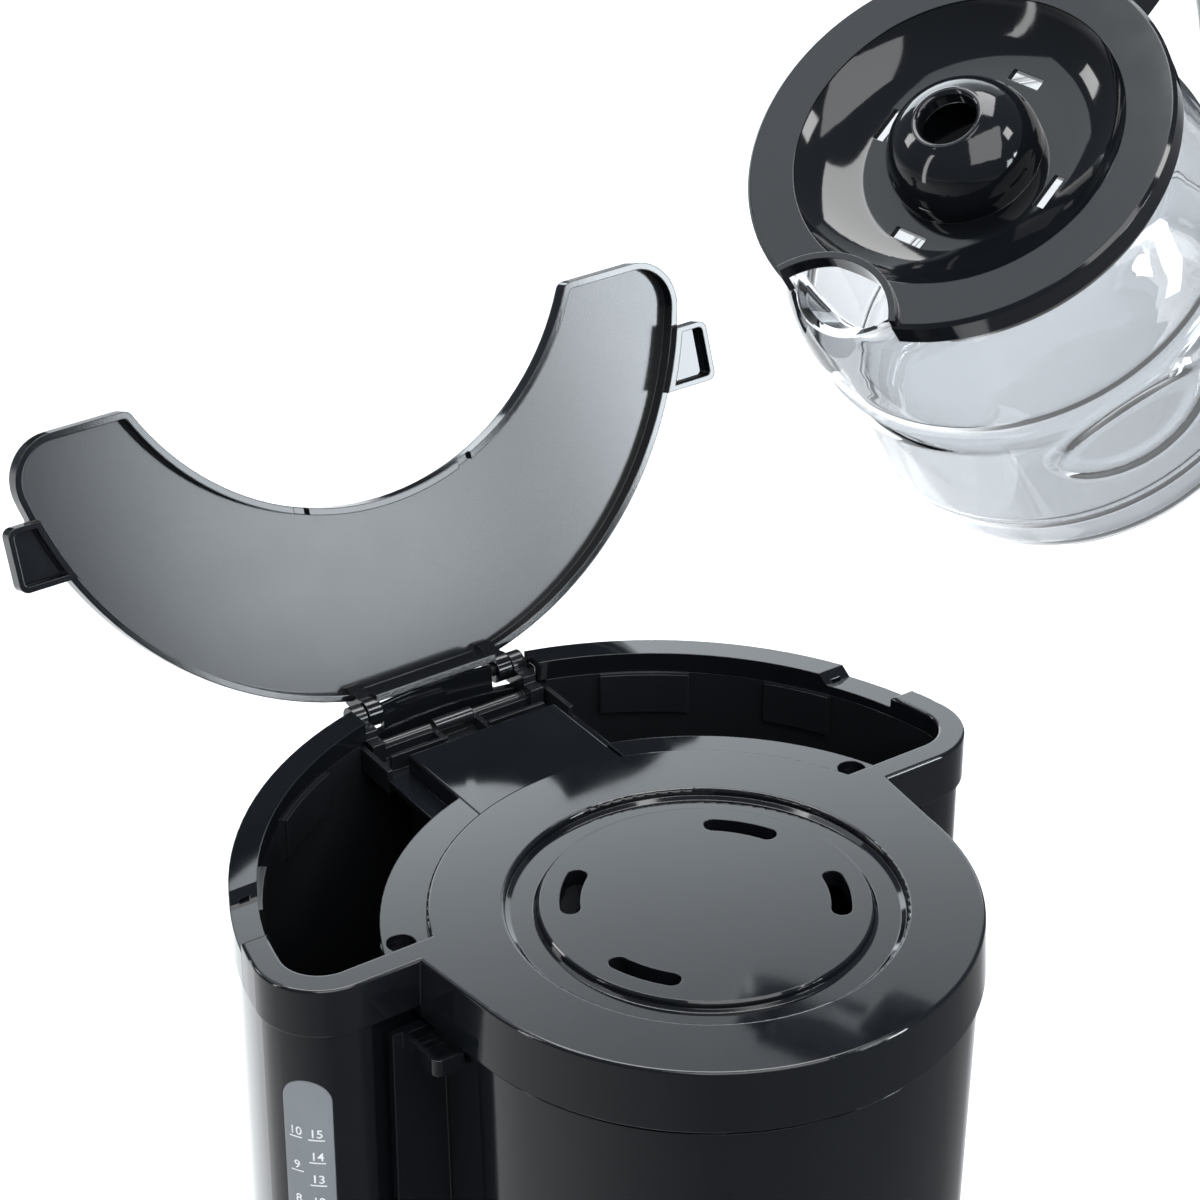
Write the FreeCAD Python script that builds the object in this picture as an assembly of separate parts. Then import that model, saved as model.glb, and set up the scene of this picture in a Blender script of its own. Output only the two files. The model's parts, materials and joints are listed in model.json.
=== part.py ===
import FreeCAD, Part
import math
import os

os.makedirs("parts", exist_ok=True)

# Drip coffee maker with a swing-out filter, an open-topped water tank behind it and a glass carafe.
# Frame: +Z up, table at z = 0, origin on the axis of the hot plate and of the round filter cover.
# The front of the machine faces -Y.  All sizes are in millimetres.

V = FreeCAD.Vector
UP = V(0, 0, 1)

# ---------------------------------------------------------------- overall layout
TOP_Z = 310.0            # top face of the cover
BASE_TOP = 42.0          # deck of the base
FOOT_H = 4.0             # rubber feet below the base wall
WALL = 2.5               # usual moulded wall

# plan of the rear body: a straight front, two rounded corners and one large arc
TANK_FRONT_Y = 19.4
TANK_CENTRE_Y = 21.6
TANK_R = 113.0
CORNER_R = 18.0
BODY_INSET = 1.3         # body wall stands back from the cover's band
RIM_W = 7.5              # width of the rim around the tank opening
RIM_BAND_H = 14.2
RIM_PLATE = 2.5
RIM_LIP_H = 6.0

# round cover over the filter
RING_R = 72.5
RING_BAND_R = 73.4
RING_BAND_H = 17.6
FLARE_X = 75.0           # where the round cover meets the straight front of the rim
RING_BORE_R = 52.3
LEDGE_R = 84.6
LEDGE_DROP = 3.5
SCREW_X, SCREW_Y = (-72.8, 72.8), 32.4
BOSS_Z = TOP_Z - 14.0    # underside of the screw bosses
CUP_Z = TOP_Z - 11.5     # bottom of the deep cups above the screws
COVER_END_Y = 51.3       # the front cover's rim stops here, the rear rim carries on
TAB_STEP_Y = 73.0        # rear end of the lowered stretch under the lid's tabs
TAB_RECESS = 3.2

# bay for the swing-out filter
BAY_R = 74.5
POCKET_X = 88.5
POCKET_Y = 24.5

# tank
TANK_FLOOR_Z = 145.0
TANK_GAP = 5.4           # from the band's outside to the tank's outside
TANK_WALL = 2.0
DUCT_X = 21.5
DUCT_BACK_Y = 105.5
DUCT_WALL = 2.5

# bridge over the duct
BRIDGE_X = 24.3
BRIDGE_BACK_Y = 108.0
BRIDGE_DROP = 4.05

# level window, square to the left front corner
WINDOW_W = 13.2
WINDOW_LOW_Z, WINDOW_TOP_Z = 155.0, 274.0
WINDOW_HEADING = -138.0

# tank lid and its hinge
HINGE_Y = 133.2
HINGE_Z = TOP_Z - 4.1
LID_OPEN_DEG = 109.8
LID_R = 110.5
LID_CENTRE_Y = 22.0
LID_BITE_R = 79.0
LID_BITE_Y = -2.6
LID_TIP_Y = 31.5
LID_LOW = TOP_Z + 0.3
LID_TOP = TOP_Z + 6.3
LID_SKIN = 2.0
ARM_IN, ARM_OUT = 19.5, 24.0
LID_PIN_R = 2.0
LID_BORE_R = 2.08

# swing-out filter
FILTER_TOP_R = 71.8
FILTER_LOW_R = 70.0
FILTER_LOW_Z = 180.0
FILTER_TOP_Z = 290.6
FILTER_WALL = 2.4
WING_X = 84.5
WING_Y0, WING_Y1 = 18.2, 20.6
SWING_X, SWING_Y = 81.5, 19.4
SWING_PIN_R = 2.0
SWING_BORE_R = 2.08
KNUCKLE_R = 4.2

# drip stop
STEM_R = 3.4
SEAT_Z = 198.0
FOOT_Z = 172.4

# hot plate
PLATE_R = 62.0
PLATE_TOP = 46.0
BASE_R = 78.0

# water path under the tank and up the duct
VALVE_X, VALVE_Y, VALVE_Z = 55.0, 88.0, 112.0
RISER_X, RISER_Y = 0.0, 92.0
PIPE_R = 4.8
HOSE_R = 6.8
HOSE_LOW = 15.0          # height of the hoses' run through the base
SHOWER_Z = 291.0         # underside of the pan that spreads the water
SPIGOT = 5.0             # length of pipe inside a hose end
PORT_DROP = 12.0         # how far the heated tube's ends reach down

# bottom fixings
BOTTOM_SCREWS = [(-48, 50), (48, 50), (-70, 95), (70, 95)]
FEET = [(-44, -44), (44, -44), (0, 0), (-84, 62), (84, 62), (0, 118)]
GLAND_X, GLAND_Z = 45.0, 20.0

# rocker switch
SWITCH_Z = 23.0
ROCKER_Y = -75.0
ROCKER_TILT = 7.0

# carafe, modelled upright with its spout towards +X and its base at z = 0
CARAFE_H = 120.4         # underside of the glass to the top face of the lid's rim
GLASS_T = 2.6
LID_RIM_R = 60.0
CARAFE_RIM = V(127.9, 67.2, TOP_Z + 159.0)
CARAFE_TILT = 35.6
CARAFE_HEADING = -164.8
CARAFE_SPIN = -4.5
CARAFE_PIN_X, CARAFE_PIN_Z = -62.5, 119.0


# ---------------------------------------------------------------- small helpers
def box(x0, x1, y0, y1, z0, z1):
    return Part.makeBox(x1 - x0, y1 - y0, z1 - z0, V(x0, y0, z0))


def cyl(x, y, r, z0, z1):
    return Part.makeCylinder(r, z1 - z0, V(x, y, z0))


def rod(start, end, r):
    direction = end.sub(start)
    return Part.makeCylinder(r, direction.Length, start, direction)


def tube(x, y, r_out, r_in, z0, z1):
    return cyl(x, y, r_out, z0, z1).cut(cyl(x, y, r_in, z0 - 1, z1 + 1))


def fuse(shapes):
    whole = shapes[0]
    if len(shapes) > 1:
        whole = whole.multiFuse(shapes[1:])
    return whole.removeSplitter()


def group(shapes):
    return Part.makeCompound(shapes)


def extrude(face, z0, z1):
    moved = face.copy()
    moved.translate(V(0, 0, z0))
    return moved.extrude(V(0, 0, z1 - z0))


def polygon(points):
    closed = [V(*p) for p in points]
    return Part.Face(Part.makePolygon(closed + [closed[0]]))


def turned(profile):
    """Solid of revolution about Z from (radius, height) points."""
    face = polygon([(r, 0, z) for r, z in profile])
    return face.revolve(V(0, 0, 0), UP, 360)


def mirror_x(shape):
    return shape.mirror(V(0, 0, 0), V(1, 0, 0))


def arc(a, b, c):
    return Part.Arc(a, b, c).toShape()


def line(a, b):
    return Part.LineSegment(a, b).toShape()


def bent_tube(points, bend_r, r_out, r_in):
    """Tube along straight runs joined by tangent arcs of one radius."""
    pts = [V(*p) for p in points]
    edges = []
    start = pts[0]
    for i in range(1, len(pts) - 1):
        into = pts[i].sub(pts[i - 1]).normalize()
        out = pts[i + 1].sub(pts[i]).normalize()
        turn = into.getAngle(out)
        back = bend_r * math.tan(turn / 2)
        a = pts[i].sub(V(into).multiply(back))
        b = pts[i].add(V(out).multiply(back))
        inward = V(out).sub(into).normalize()
        mid = pts[i].add(inward.multiply(bend_r / math.cos(turn / 2) - bend_r))
        edges += [line(start, a), arc(a, mid, b)]
        start = b
    edges.append(line(start, pts[-1]))
    wire = Part.Wire(edges)
    first = pts[1].sub(pts[0])

    def sweep(r):
        ring = Part.Wire(Part.Circle(pts[0], first, r).toShape())
        return wire.makePipeShell([ring], True, False)
    return sweep(r_out).cut(sweep(r_in))


def soften(shape, radius, wanted):
    edges = [e for e in shape.Edges if wanted(e)]
    return shape.makeFillet(radius, edges)


def export(name, shape):
    shape.exportStep("parts/" + name + ".step")


# ---------------------------------------------------------------- plan outlines
def body_plan(inset):
    """Face of the rear body's plan, moved inwards by inset."""
    centre_y = TANK_FRONT_Y + CORNER_R
    reach = TANK_R - CORNER_R
    centre_x = math.sqrt(reach ** 2 - (centre_y - TANK_CENTRE_Y) ** 2)
    out_angle = math.atan2(centre_y - TANK_CENTRE_Y, centre_x)
    r = CORNER_R - inset
    mid_angle = (out_angle - math.pi / 2) / 2

    def corner(angle):
        return V(centre_x + r * math.cos(angle), centre_y + r * math.sin(angle), 0)

    def flip(p):
        return V(-p.x, p.y, 0)
    front, mid, side = corner(-math.pi / 2), corner(mid_angle), corner(out_angle)
    back = V(0, TANK_CENTRE_Y + TANK_R - inset, 0)
    edges = [line(flip(front), front), arc(front, mid, side), arc(side, back, flip(side)),
             arc(flip(side), flip(mid), flip(front))]
    return Part.Face(Part.Wire(edges))


def body_prism(inset, z0, z1):
    return extrude(body_plan(inset), z0, z1)


def rim_band(inset_out, inset_in, z0, z1):
    return body_prism(inset_out, z0, z1).cut(body_prism(inset_in, z0 - 1, z1 + 1))


def column_block(inset, bay_r, pocket_x, pocket_y, z0, z1):
    """Rear body with the round bay and the shallow pocket for the filter's wings taken out."""
    block = body_prism(inset, z0, z1).cut(cyl(0, 0, bay_r, z0 - 1, z1 + 1))
    return block.cut(box(-pocket_x, pocket_x, 0, pocket_y, z0 - 1, z1 + 1))


def cover_plan(r, flare_x, back_y):
    """Round cover with its two sides running straight out to the rim's front."""
    reach = math.hypot(flare_x, TANK_FRONT_Y)
    angle = math.atan2(TANK_FRONT_Y, flare_x) - math.acos(r / reach)
    touch = V(r * math.cos(angle), r * math.sin(angle), 0)
    corner = V(flare_x, TANK_FRONT_Y, 0)
    rear = V(flare_x, back_y, 0)

    def flip(p):
        return V(-p.x, p.y, 0)
    edges = [arc(flip(touch), V(0, -r, 0), touch), line(touch, corner), line(corner, rear),
             line(rear, flip(rear)), line(flip(rear), flip(corner)), line(flip(corner), flip(touch))]
    return Part.Wire(edges)


# ---------------------------------------------------------------- top cover group
def ring_shell():
    """Round plate and its band, open below; the back wall is left out."""
    low_z = TOP_Z - RING_BAND_H
    back_y = POCKET_Y - 0.2

    def drafted(shrink, back, z0, z1):
        low = cover_plan(RING_BAND_R - shrink, FLARE_X + 0.5 - shrink, back)
        high = cover_plan(RING_R - shrink, FLARE_X - shrink, back)
        low.translate(V(0, 0, z0))
        high.translate(V(0, 0, z1))
        return Part.makeLoft([low, high], True, True)
    outer = drafted(0, back_y, low_z, TOP_Z)
    inner = drafted(2.2, back_y + 5, low_z - 0.1, TOP_Z - RIM_PLATE)
    return outer.cut(inner)


def ledge_shoulder():
    """Cutter for the rounded slope between the round cover's top and the ledge in the tank opening."""
    start_r, drop = RING_R - 8.0, LEDGE_DROP
    run = RING_R - start_r
    rho = (run ** 2 + drop ** 2) / (2 * drop)
    half = math.asin(run / rho) / 2
    mid = V(start_r + rho * math.sin(half), 0, TOP_Z - rho + rho * math.cos(half))
    a, b = V(start_r, 0, TOP_Z), V(RING_R, 0, TOP_Z - drop)
    c, d = V(RING_R + 0.02, 0, TOP_Z + 1), V(start_r, 0, TOP_Z + 1)
    low = V(RING_R + 0.02, 0, TOP_Z - drop)
    face = Part.Face(Part.Wire([arc(a, mid, b), line(b, low), line(low, c), line(c, d), line(d, a)]))
    cutter = face.revolve(V(0, 0, 0), UP, 360)
    return cutter.common(box(-90, 90, TANK_FRONT_Y + RIM_W, 90, 0, TOP_Z + 2))


def cover_boss(x):
    """Screw boss that hangs under the ledge."""
    return cyl(x, SCREW_Y, 5.4, BOSS_Z, TOP_Z - 4)


def top_cover():
    low_z = TOP_Z - RING_BAND_H
    plate = cyl(0, 0, RING_R, TOP_Z - 6, TOP_Z)
    back_wall = tube(0, 0, RING_R, RING_R - 2.2, low_z, TOP_Z - 1)
    back_wall = back_wall.common(box(-90, 90, TANK_FRONT_Y + 2, 90, low_z, TOP_Z))
    rim = rim_band(0, RIM_W, TOP_Z - RIM_PLATE, TOP_Z)
    rim = rim.fuse(rim_band(0, 2.2, TOP_Z - RIM_BAND_H, TOP_Z - 1))
    rim = rim.fuse(rim_band(TANK_GAP, RIM_W, TOP_Z - RIM_LIP_H, TOP_Z - 1))
    rim = rim.common(box(-120, 120, 0, COVER_END_Y, low_z, TOP_Z))
    rim = rim.cut(cyl(0, 0, RING_R - 1, 0, TOP_Z - RIM_PLATE))
    ledge_zone = body_prism(TANK_GAP, TOP_Z - 9, TOP_Z - LEDGE_DROP)
    ledge = cyl(0, 0, LEDGE_R, TOP_Z - LEDGE_DROP - 2.5, TOP_Z - LEDGE_DROP)
    ledge = ledge.fuse(tube(0, 0, LEDGE_R, LEDGE_R - 2.0, TOP_Z - 9, TOP_Z - LEDGE_DROP))
    ledge = ledge.common(ledge_zone)
    ledge = ledge.cut(box(-BRIDGE_X - 0.1, BRIDGE_X + 0.1, 60, 95, TOP_Z - 20, TOP_Z - 1))
    bosses = [cover_boss(x) for x in SCREW_X]
    cover = fuse([ring_shell(), plate, back_wall, rim, ledge] + bosses)
    cover = cover.cut(cyl(0, 0, RING_R - 2.2, 0, TOP_Z - 7.5))
    cover = cover.cut(cyl(0, 0, RING_BORE_R - 3.5, 0, TOP_Z + 1))
    cover = cover.cut(cyl(0, 0, RING_BORE_R, TOP_Z - 5, TOP_Z + 1))
    for x in SCREW_X:
        cup = cyl(x, SCREW_Y, 3.9, CUP_Z, TOP_Z + 1)
        cover = cover.cut(cup.cut(cyl(0, 0, RING_R, 0, TOP_Z + 2)))
        cover = cover.cut(cyl(x, SCREW_Y, 1.7, BOSS_Z - 1, CUP_Z + 1))
    cover = cover.cut(box(-8.2, 8.2, 60, 80, TOP_Z - 20, TOP_Z - 6.2))

    def top_outer_edge(e):
        flat = all(abs(v.Z - TOP_Z) < 1e-4 for v in e.Vertexes)
        mid = e.valueAt((e.FirstParameter + e.LastParameter) / 2)
        return flat and abs(mid.z - TOP_Z) < 1e-4 and math.hypot(mid.x, mid.y) > RING_BORE_R - 1
    cover = soften(cover.removeSplitter(), 0.9, top_outer_edge)
    return cover.cut(ledge_shoulder())


def vent_disc():
    """Insert in the cover: a raised disc in a shallow annulus, with curved vent slots."""
    top = TOP_Z - 0.2
    floor = TOP_Z - 2.6
    disc = turned([(0, floor - 2.3), (RING_BORE_R - 0.1, floor - 2.3), (RING_BORE_R - 0.1, floor + 0.8),
                   (RING_BORE_R - 1.6, floor), (44.9, floor), (44.0, floor + 0.6), (43.7, top - 0.5),
                   (43.2, top), (0, top)])
    for centre_deg in (39, 139, -28, -152):
        slot_r, half_w, half_deg = 35.3, 2.7, 12.0
        a0 = math.radians(centre_deg - half_deg)
        a1 = math.radians(centre_deg + half_deg)
        sector = polygon([(0, 0, 0), (80 * math.cos(a0), 80 * math.sin(a0), 0),
                          (80 * math.cos(a1), 80 * math.sin(a1), 0)])
        cutter = tube(0, 0, slot_r + half_w, slot_r - half_w, floor - 4, top + 2)
        cutter = cutter.common(extrude(sector, floor - 4, top + 2))
        for a in (a0, a1):
            cutter = cutter.fuse(cyl(slot_r * math.cos(a), slot_r * math.sin(a), half_w, floor - 4, top + 2))
        disc = disc.cut(cutter)
    return disc


def cover_screws():
    screws = []
    for x in SCREW_X:
        head = cyl(x, SCREW_Y, 3.2, CUP_Z, CUP_Z + 2.4).cut(cyl(0, 0, RING_R + 0.1, 0, TOP_Z))
        head = head.cut(box(x - 2.6, x + 2.6, SCREW_Y - 0.5, SCREW_Y + 0.5, CUP_Z + 1.3, CUP_Z + 3))
        screws.append(fuse([head, cyl(x, SCREW_Y, 1.6, TOP_Z - 30, CUP_Z + 0.5)]))
    return group(screws)


def channel_cover():
    """Flat bridge over the hot water duct."""
    top = TOP_Z - BRIDGE_DROP
    plan = box(-BRIDGE_X, BRIDGE_X, 60, BRIDGE_BACK_Y, top - 2.2, top)
    skirts = [box(-BRIDGE_X, -DUCT_X, 60, BRIDGE_BACK_Y, TOP_Z - 14, top),
              box(DUCT_X, BRIDGE_X, 60, BRIDGE_BACK_Y, TOP_Z - 14, top)]
    flanges = [box(-31, -BRIDGE_X + 1, 84, BRIDGE_BACK_Y, TOP_Z - 12, TOP_Z - 10.2),
               box(BRIDGE_X - 1, 31, 84, BRIDGE_BACK_Y, TOP_Z - 12, TOP_Z - 10.2)]
    bridge = fuse([plan] + skirts + flanges)
    bridge = bridge.cut(cyl(0, 0, RING_R + 0.1, 0, TOP_Z))
    bridge = bridge.cut(tube(0, 0, LEDGE_R + 0.1, 60, TOP_Z - 9.1, TOP_Z - 9.05))
    return soften(bridge, 0.8, lambda e: all(abs(v.Z - top) < 1e-4 for v in e.Vertexes)
                  and abs(e.valueAt(e.FirstParameter).y - BRIDGE_BACK_Y) < 40
                  and e.Curve.TypeId == "Part::GeomLine")


# ---------------------------------------------------------------- rear body
def window_slot(grow, depth0, depth1):
    """Tall round-topped block set square to the left front corner."""
    half = WINDOW_W / 2 + grow
    z0, z1 = WINDOW_LOW_Z - grow, WINDOW_TOP_Z
    centre_y = TANK_FRONT_Y + CORNER_R
    centre_x = -math.sqrt((TANK_R - CORNER_R) ** 2 - (centre_y - TANK_CENTRE_Y) ** 2)
    plate = box(depth0, depth1, -half, half, z0, z1)
    plate = plate.fuse(rod(V(depth0, 0, z1), V(depth1, 0, z1), half))
    plate.rotate(V(0, 0, 0), UP, WINDOW_HEADING)
    plate.translate(V(centre_x, centre_y, 0))
    return plate


def rear_rim():
    top = rim_band(0, RIM_W, TOP_Z - RIM_PLATE, TOP_Z)
    skirt = rim_band(0, 2.6, TOP_Z - RIM_BAND_H, TOP_Z - 1)
    lip = rim_band(TANK_GAP, RIM_W, TOP_Z - RIM_LIP_H, TOP_Z - 1)
    rim = top.fuse([skirt, lip])
    rim = rim.common(box(-120, 120, COVER_END_Y + 0.15, 140, TOP_Z - RIM_BAND_H, TOP_Z))
    low = TOP_Z - TAB_RECESS
    for sign in (-1, 1):
        x0, x1 = sorted((sign * 90, sign * 120))
        slope = polygon([(x0, COVER_END_Y - 1, low), (x0, TAB_STEP_Y - 2.2, low),
                         (x0, TAB_STEP_Y, TOP_Z + 0.01), (x0, COVER_END_Y - 1, TOP_Z + 0.01)])
        rim = rim.cut(slope.extrude(V(x1 - x0, 0, 0)))
        floor = rim_band(0, RIM_W, low - RIM_PLATE, low)
        rim = rim.fuse(floor.common(box(x0, x1, COVER_END_Y + 0.15, TAB_STEP_Y, low - 4, low)))
    return rim


def hinge_wall():
    """Low wall between the lid's arms, with an inner face that leans back."""
    low_z, high_z = TOP_Z - 10.5, TOP_Z - 2.1
    band = rim_band(0, 4.0, low_z, high_z).common(box(-ARM_IN + 1.2, ARM_IN - 1.2, 100, 140, low_z, high_z))
    lean = TANK_R - 2.2
    cone = Part.makeCone(lean, lean + 1.0, high_z - low_z + 0.02, V(0, TANK_CENTRE_Y, low_z - 0.01))
    return band.cut(cone)


def rear_housing():
    top = TOP_Z - RIM_BAND_H
    outer = column_block(BODY_INSET, BAY_R, POCKET_X, POCKET_Y, BASE_TOP, top)
    inner = column_block(BODY_INSET + WALL, BAY_R + WALL, POCKET_X + WALL, POCKET_Y + WALL, BASE_TOP - 1, top + 1)
    body = fuse([outer.cut(inner), rear_rim()])
    body = body.cut(window_slot(0.08, 5, 30))
    body = body.cut(box(-29, 29, 118, 140, TOP_Z - 10, TOP_Z + 1))
    body = body.fuse(hinge_wall())
    body = body.cut(box(-8.2, 8.2, 60, 80, TOP_Z - 20.5, TOP_Z))
    for z0, z1 in ((FILTER_TOP_Z - 4.2, FILTER_TOP_Z - 0.6), (FILTER_LOW_Z, FILTER_LOW_Z + 4)):
        ear = cyl(SWING_X, SWING_Y, 4.6, z0, z1).fuse(box(SWING_X, POCKET_X + 1, 16, 24, z0, z1))
        web = box(SWING_X + 4.9, POCKET_X + 1, 19.4, POCKET_Y + 1, z0, z1)
        body = body.fuse(fuse([ear, web]))
        body = body.cut(cyl(SWING_X, SWING_Y, SWING_PIN_R, z0 - 1, z1 + 1))
    lower_edge = top - 0.01

    def vertical_corner(e):
        if len(e.Vertexes) != 2 or e.Curve.TypeId != "Part::GeomLine":
            return False
        a, b = e.Vertexes
        tall = abs(a.X - b.X) < 1e-4 and abs(a.Y - b.Y) < 1e-4 and abs(a.Z - b.Z) > 60
        return tall and abs(abs(a.X) - POCKET_X) < 0.2 and a.Y < 22 and max(a.Z, b.Z) > lower_edge - 1
    return soften(body.removeSplitter(), 0.8, vertical_corner)


def level_window():
    """Smoke-grey insert that follows the curved corner of the body."""
    skin = rim_band(BODY_INSET - 0.25, BODY_INSET + WALL + 0.4, 140, 290)
    return skin.common(window_slot(0, 5, 30))


def clip_pads():
    """Flat pads at the top of the tank's back wall, two to each side."""
    wall_r = TANK_R - TANK_GAP - TANK_WALL
    ring = tube(0, TANK_CENTRE_Y, wall_r + 0.5, wall_r - 1.3, TOP_Z - 19.3, TOP_Z - RIM_LIP_H - 0.6)
    pads = []
    for from_deg, to_deg in ((27.2, 38.0), (50.2, 64.2)):
        a0, a1 = math.radians(from_deg), math.radians(to_deg)
        sector = polygon([(0, TANK_CENTRE_Y, 0), (150 * math.cos(a0), TANK_CENTRE_Y + 150 * math.sin(a0), 0),
                          (150 * math.cos(a1), TANK_CENTRE_Y + 150 * math.sin(a1), 0)])
        pad = ring.common(extrude(sector, TOP_Z - 30, TOP_Z))
        pads += [pad, mirror_x(pad)]
    return pads


def water_tank():
    top = TOP_Z - RIM_LIP_H - 0.2
    outer = column_block(TANK_GAP, BAY_R + 2.7, POCKET_X + 2.7, POCKET_Y + 2.7, TANK_FLOOR_Z, top)
    inner = column_block(TANK_GAP + TANK_WALL, BAY_R + 4.7, POCKET_X + 4.7, POCKET_Y + 4.7,
                         TANK_FLOOR_Z + WALL, top + 1)
    duct_out = box(-DUCT_X - DUCT_WALL, DUCT_X + DUCT_WALL, 60, DUCT_BACK_Y + DUCT_WALL, 0, top + 2)
    duct_in = box(-DUCT_X, DUCT_X, 60, DUCT_BACK_Y, TANK_FLOOR_Z - 1, top + 2)
    tank = outer.cut(inner.cut(duct_out)).cut(duct_in)
    tank = tank.cut(box(-31.2, 31.2, 60, 140, TOP_Z - 15.2, top + 1))
    posts = [cyl(x, SCREW_Y, 5.4, TOP_Z - 42, BOSS_Z - 0.1) for x in SCREW_X]
    tank = tank.fuse([post.common(outer) for post in posts])
    for x in SCREW_X:
        tank = tank.cut(cyl(x, SCREW_Y, 5.6, BOSS_Z - 0.1, TOP_Z))
        tank = tank.cut(cyl(x, SCREW_Y, 1.6, TOP_Z - 32, BOSS_Z))
    tank = tank.cut(tube(0, 0, LEDGE_R + 0.3, LEDGE_R - 2.3, TOP_Z - 9.2, TOP_Z))
    tank = tank.fuse(clip_pads())
    outlet = cyl(VALVE_X, VALVE_Y, 6.0, TANK_FLOOR_Z - 12, TANK_FLOOR_Z + 1)
    tank = tank.fuse(outlet).cut(cyl(VALVE_X, VALVE_Y, 4.2, TANK_FLOOR_Z - 13, TANK_FLOOR_Z + 5))
    return tank.removeSplitter()


# ---------------------------------------------------------------- lid hinge
def hinge_bracket():
    """Trough behind the bridge, with a low barrel in its well and two ears that carry the lid's pins."""
    floor_z = TOP_Z - 14.8
    front_y, back_y = BRIDGE_BACK_Y + 0.2, 126.2
    rib_z = TOP_Z - 9.6
    parts = [box(-31, 31, front_y, back_y, floor_z, floor_z + 1.8)]
    parts += [box(x - 0.8, x + 0.8, front_y, back_y, floor_z, rib_z) for x in (-7, 7)]
    parts += [box(x - 0.8, x + 0.8, front_y, back_y, floor_z, TOP_Z - 7.5) for x in (-30.2, 30.2)]
    for x0, x1 in ((-25.6, -7), (7, 25.6)):
        parts.append(box(x0, x1, 115.0, 116.2, floor_z, TOP_Z - 8.2))
        parts.append(box(x0, x1, 121.8, 123.0, floor_z, rib_z))
        parts.append(rod(V(x0, 124.8, TOP_Z - 10.4), V(x1, 124.8, TOP_Z - 10.4), 1.5))
    parts.append(rod(V(-6.3, 124.2, TOP_Z - 10.0), V(6.3, 124.2, TOP_Z - 10.0), 2.3))
    parts.append(box(-6.3, 6.3, 122.6, 125.8, floor_z, TOP_Z - 10))
    for sign in (-1, 1):
        x0, x1 = sorted((sign * (ARM_OUT + 0.5), sign * 28.6))
        ear = rod(V(x0, HINGE_Y - 0.5, HINGE_Z), V(x1, HINGE_Y - 0.5, HINGE_Z), 3.6)
        ear = ear.fuse(box(x0, x1, 124, HINGE_Y + 1.2, TOP_Z - 9.8, HINGE_Z))
        ear = ear.fuse(box(x0, x1, 120, 126.4, floor_z, TOP_Z - 6.5))
        parts.append(ear.cut(rod(V(x0 - 1, HINGE_Y, HINGE_Z), V(x1 + 1, HINGE_Y, HINGE_Z), LID_PIN_R)))
    return fuse(parts)


def lid_pins():
    pins = []
    for sign in (-1, 1):
        a, b = V(sign * 18.6, HINGE_Y, HINGE_Z), V(sign * 28.6, HINGE_Y, HINGE_Z)
        pins.append(rod(a, b, LID_PIN_R))
    return group(pins)


# ---------------------------------------------------------------- tank lid
def crescent(grow, z0, z1, tip_r, inner_r):
    """Crescent prism; grow moves every side outwards."""
    block = cyl(0, LID_CENTRE_Y, LID_R + grow, z0, z1)
    block = block.cut(cyl(0, LID_BITE_Y, LID_BITE_R - grow, z0 - 1, z1 + 1))
    block = block.common(box(-130, 130, LID_TIP_Y - grow, 140, z0, z1))

    def tip_edge(e):
        a, b = e.Vertexes[0], e.Vertexes[-1]
        return abs(a.Z - b.Z) > 1 and abs(a.Y - (LID_TIP_Y - grow)) < 0.01

    outer_tips = [e for e in block.Edges if tip_edge(e) and abs(e.Vertexes[0].X) > 90]
    block = block.makeFillet(tip_r, outer_tips)
    inner_tips = [e for e in block.Edges if tip_edge(e) and abs(e.Vertexes[0].X) < 85]
    return block.makeFillet(inner_r, inner_tips)


def lid_tab(sign):
    """Shallow finger tray, open below, that rests in the lowered stretch of the rim."""
    y0, y1 = 53.2, 71.2
    z0, z1 = TOP_Z - 2.6, TOP_Z + 1.9
    outer = box(96, 114.3, y0, y1, z0, z1)
    outer = soften(outer, 2.5, lambda e: abs(e.Vertexes[0].Z - e.Vertexes[1].Z) > 1
                   and e.Vertexes[0].X > 110)
    pocket = box(90, 112.7, y0 + 1.6, y1 - 1.6, z0 - 1, z1 - 1.7)
    pocket = soften(pocket, 1.4, lambda e: abs(e.Vertexes[0].Z - e.Vertexes[1].Z) > 1
                    and e.Vertexes[0].X > 110)
    pocket = pocket.cut(cyl(0, LID_CENTRE_Y, LID_R + 0.2, z0 - 2, z1 + 2))
    tray = outer.cut(pocket)
    tray = tray.cut(cyl(0, LID_CENTRE_Y, LID_R - 1.8, z0 - 1, z1 + 3))
    joggle = tube(0, LID_CENTRE_Y, LID_R, LID_R - 1.8, z0, LID_TOP - 1)
    joggle = joggle.common(box(90, 115, y0, y1, z0, LID_TOP))
    tray = tray.fuse(joggle)
    return tray if sign > 0 else mirror_x(tray)


def lid_arm(x0, x1):
    """Arm from the lid's skin down to the pin."""
    top = LID_TOP - 1
    flank = polygon([(x0, 126.5, top), (x0, 126.5, top - 3), (x0, HINGE_Y - 4.2, HINGE_Z + 1),
                     (x0, HINGE_Y - 4.2, HINGE_Z), (x0, HINGE_Y + 3.6, HINGE_Z), (x0, HINGE_Y - 2.2, top)])
    arm = flank.extrude(V(x1 - x0, 0, 0))
    arm = arm.fuse(rod(V(x0, HINGE_Y, HINGE_Z), V(x1, HINGE_Y, HINGE_Z), 4.2))
    return arm.cut(rod(V(x0 - 1, HINGE_Y, HINGE_Z), V(x1 + 1, HINGE_Y, HINGE_Z), LID_BORE_R))


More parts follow.
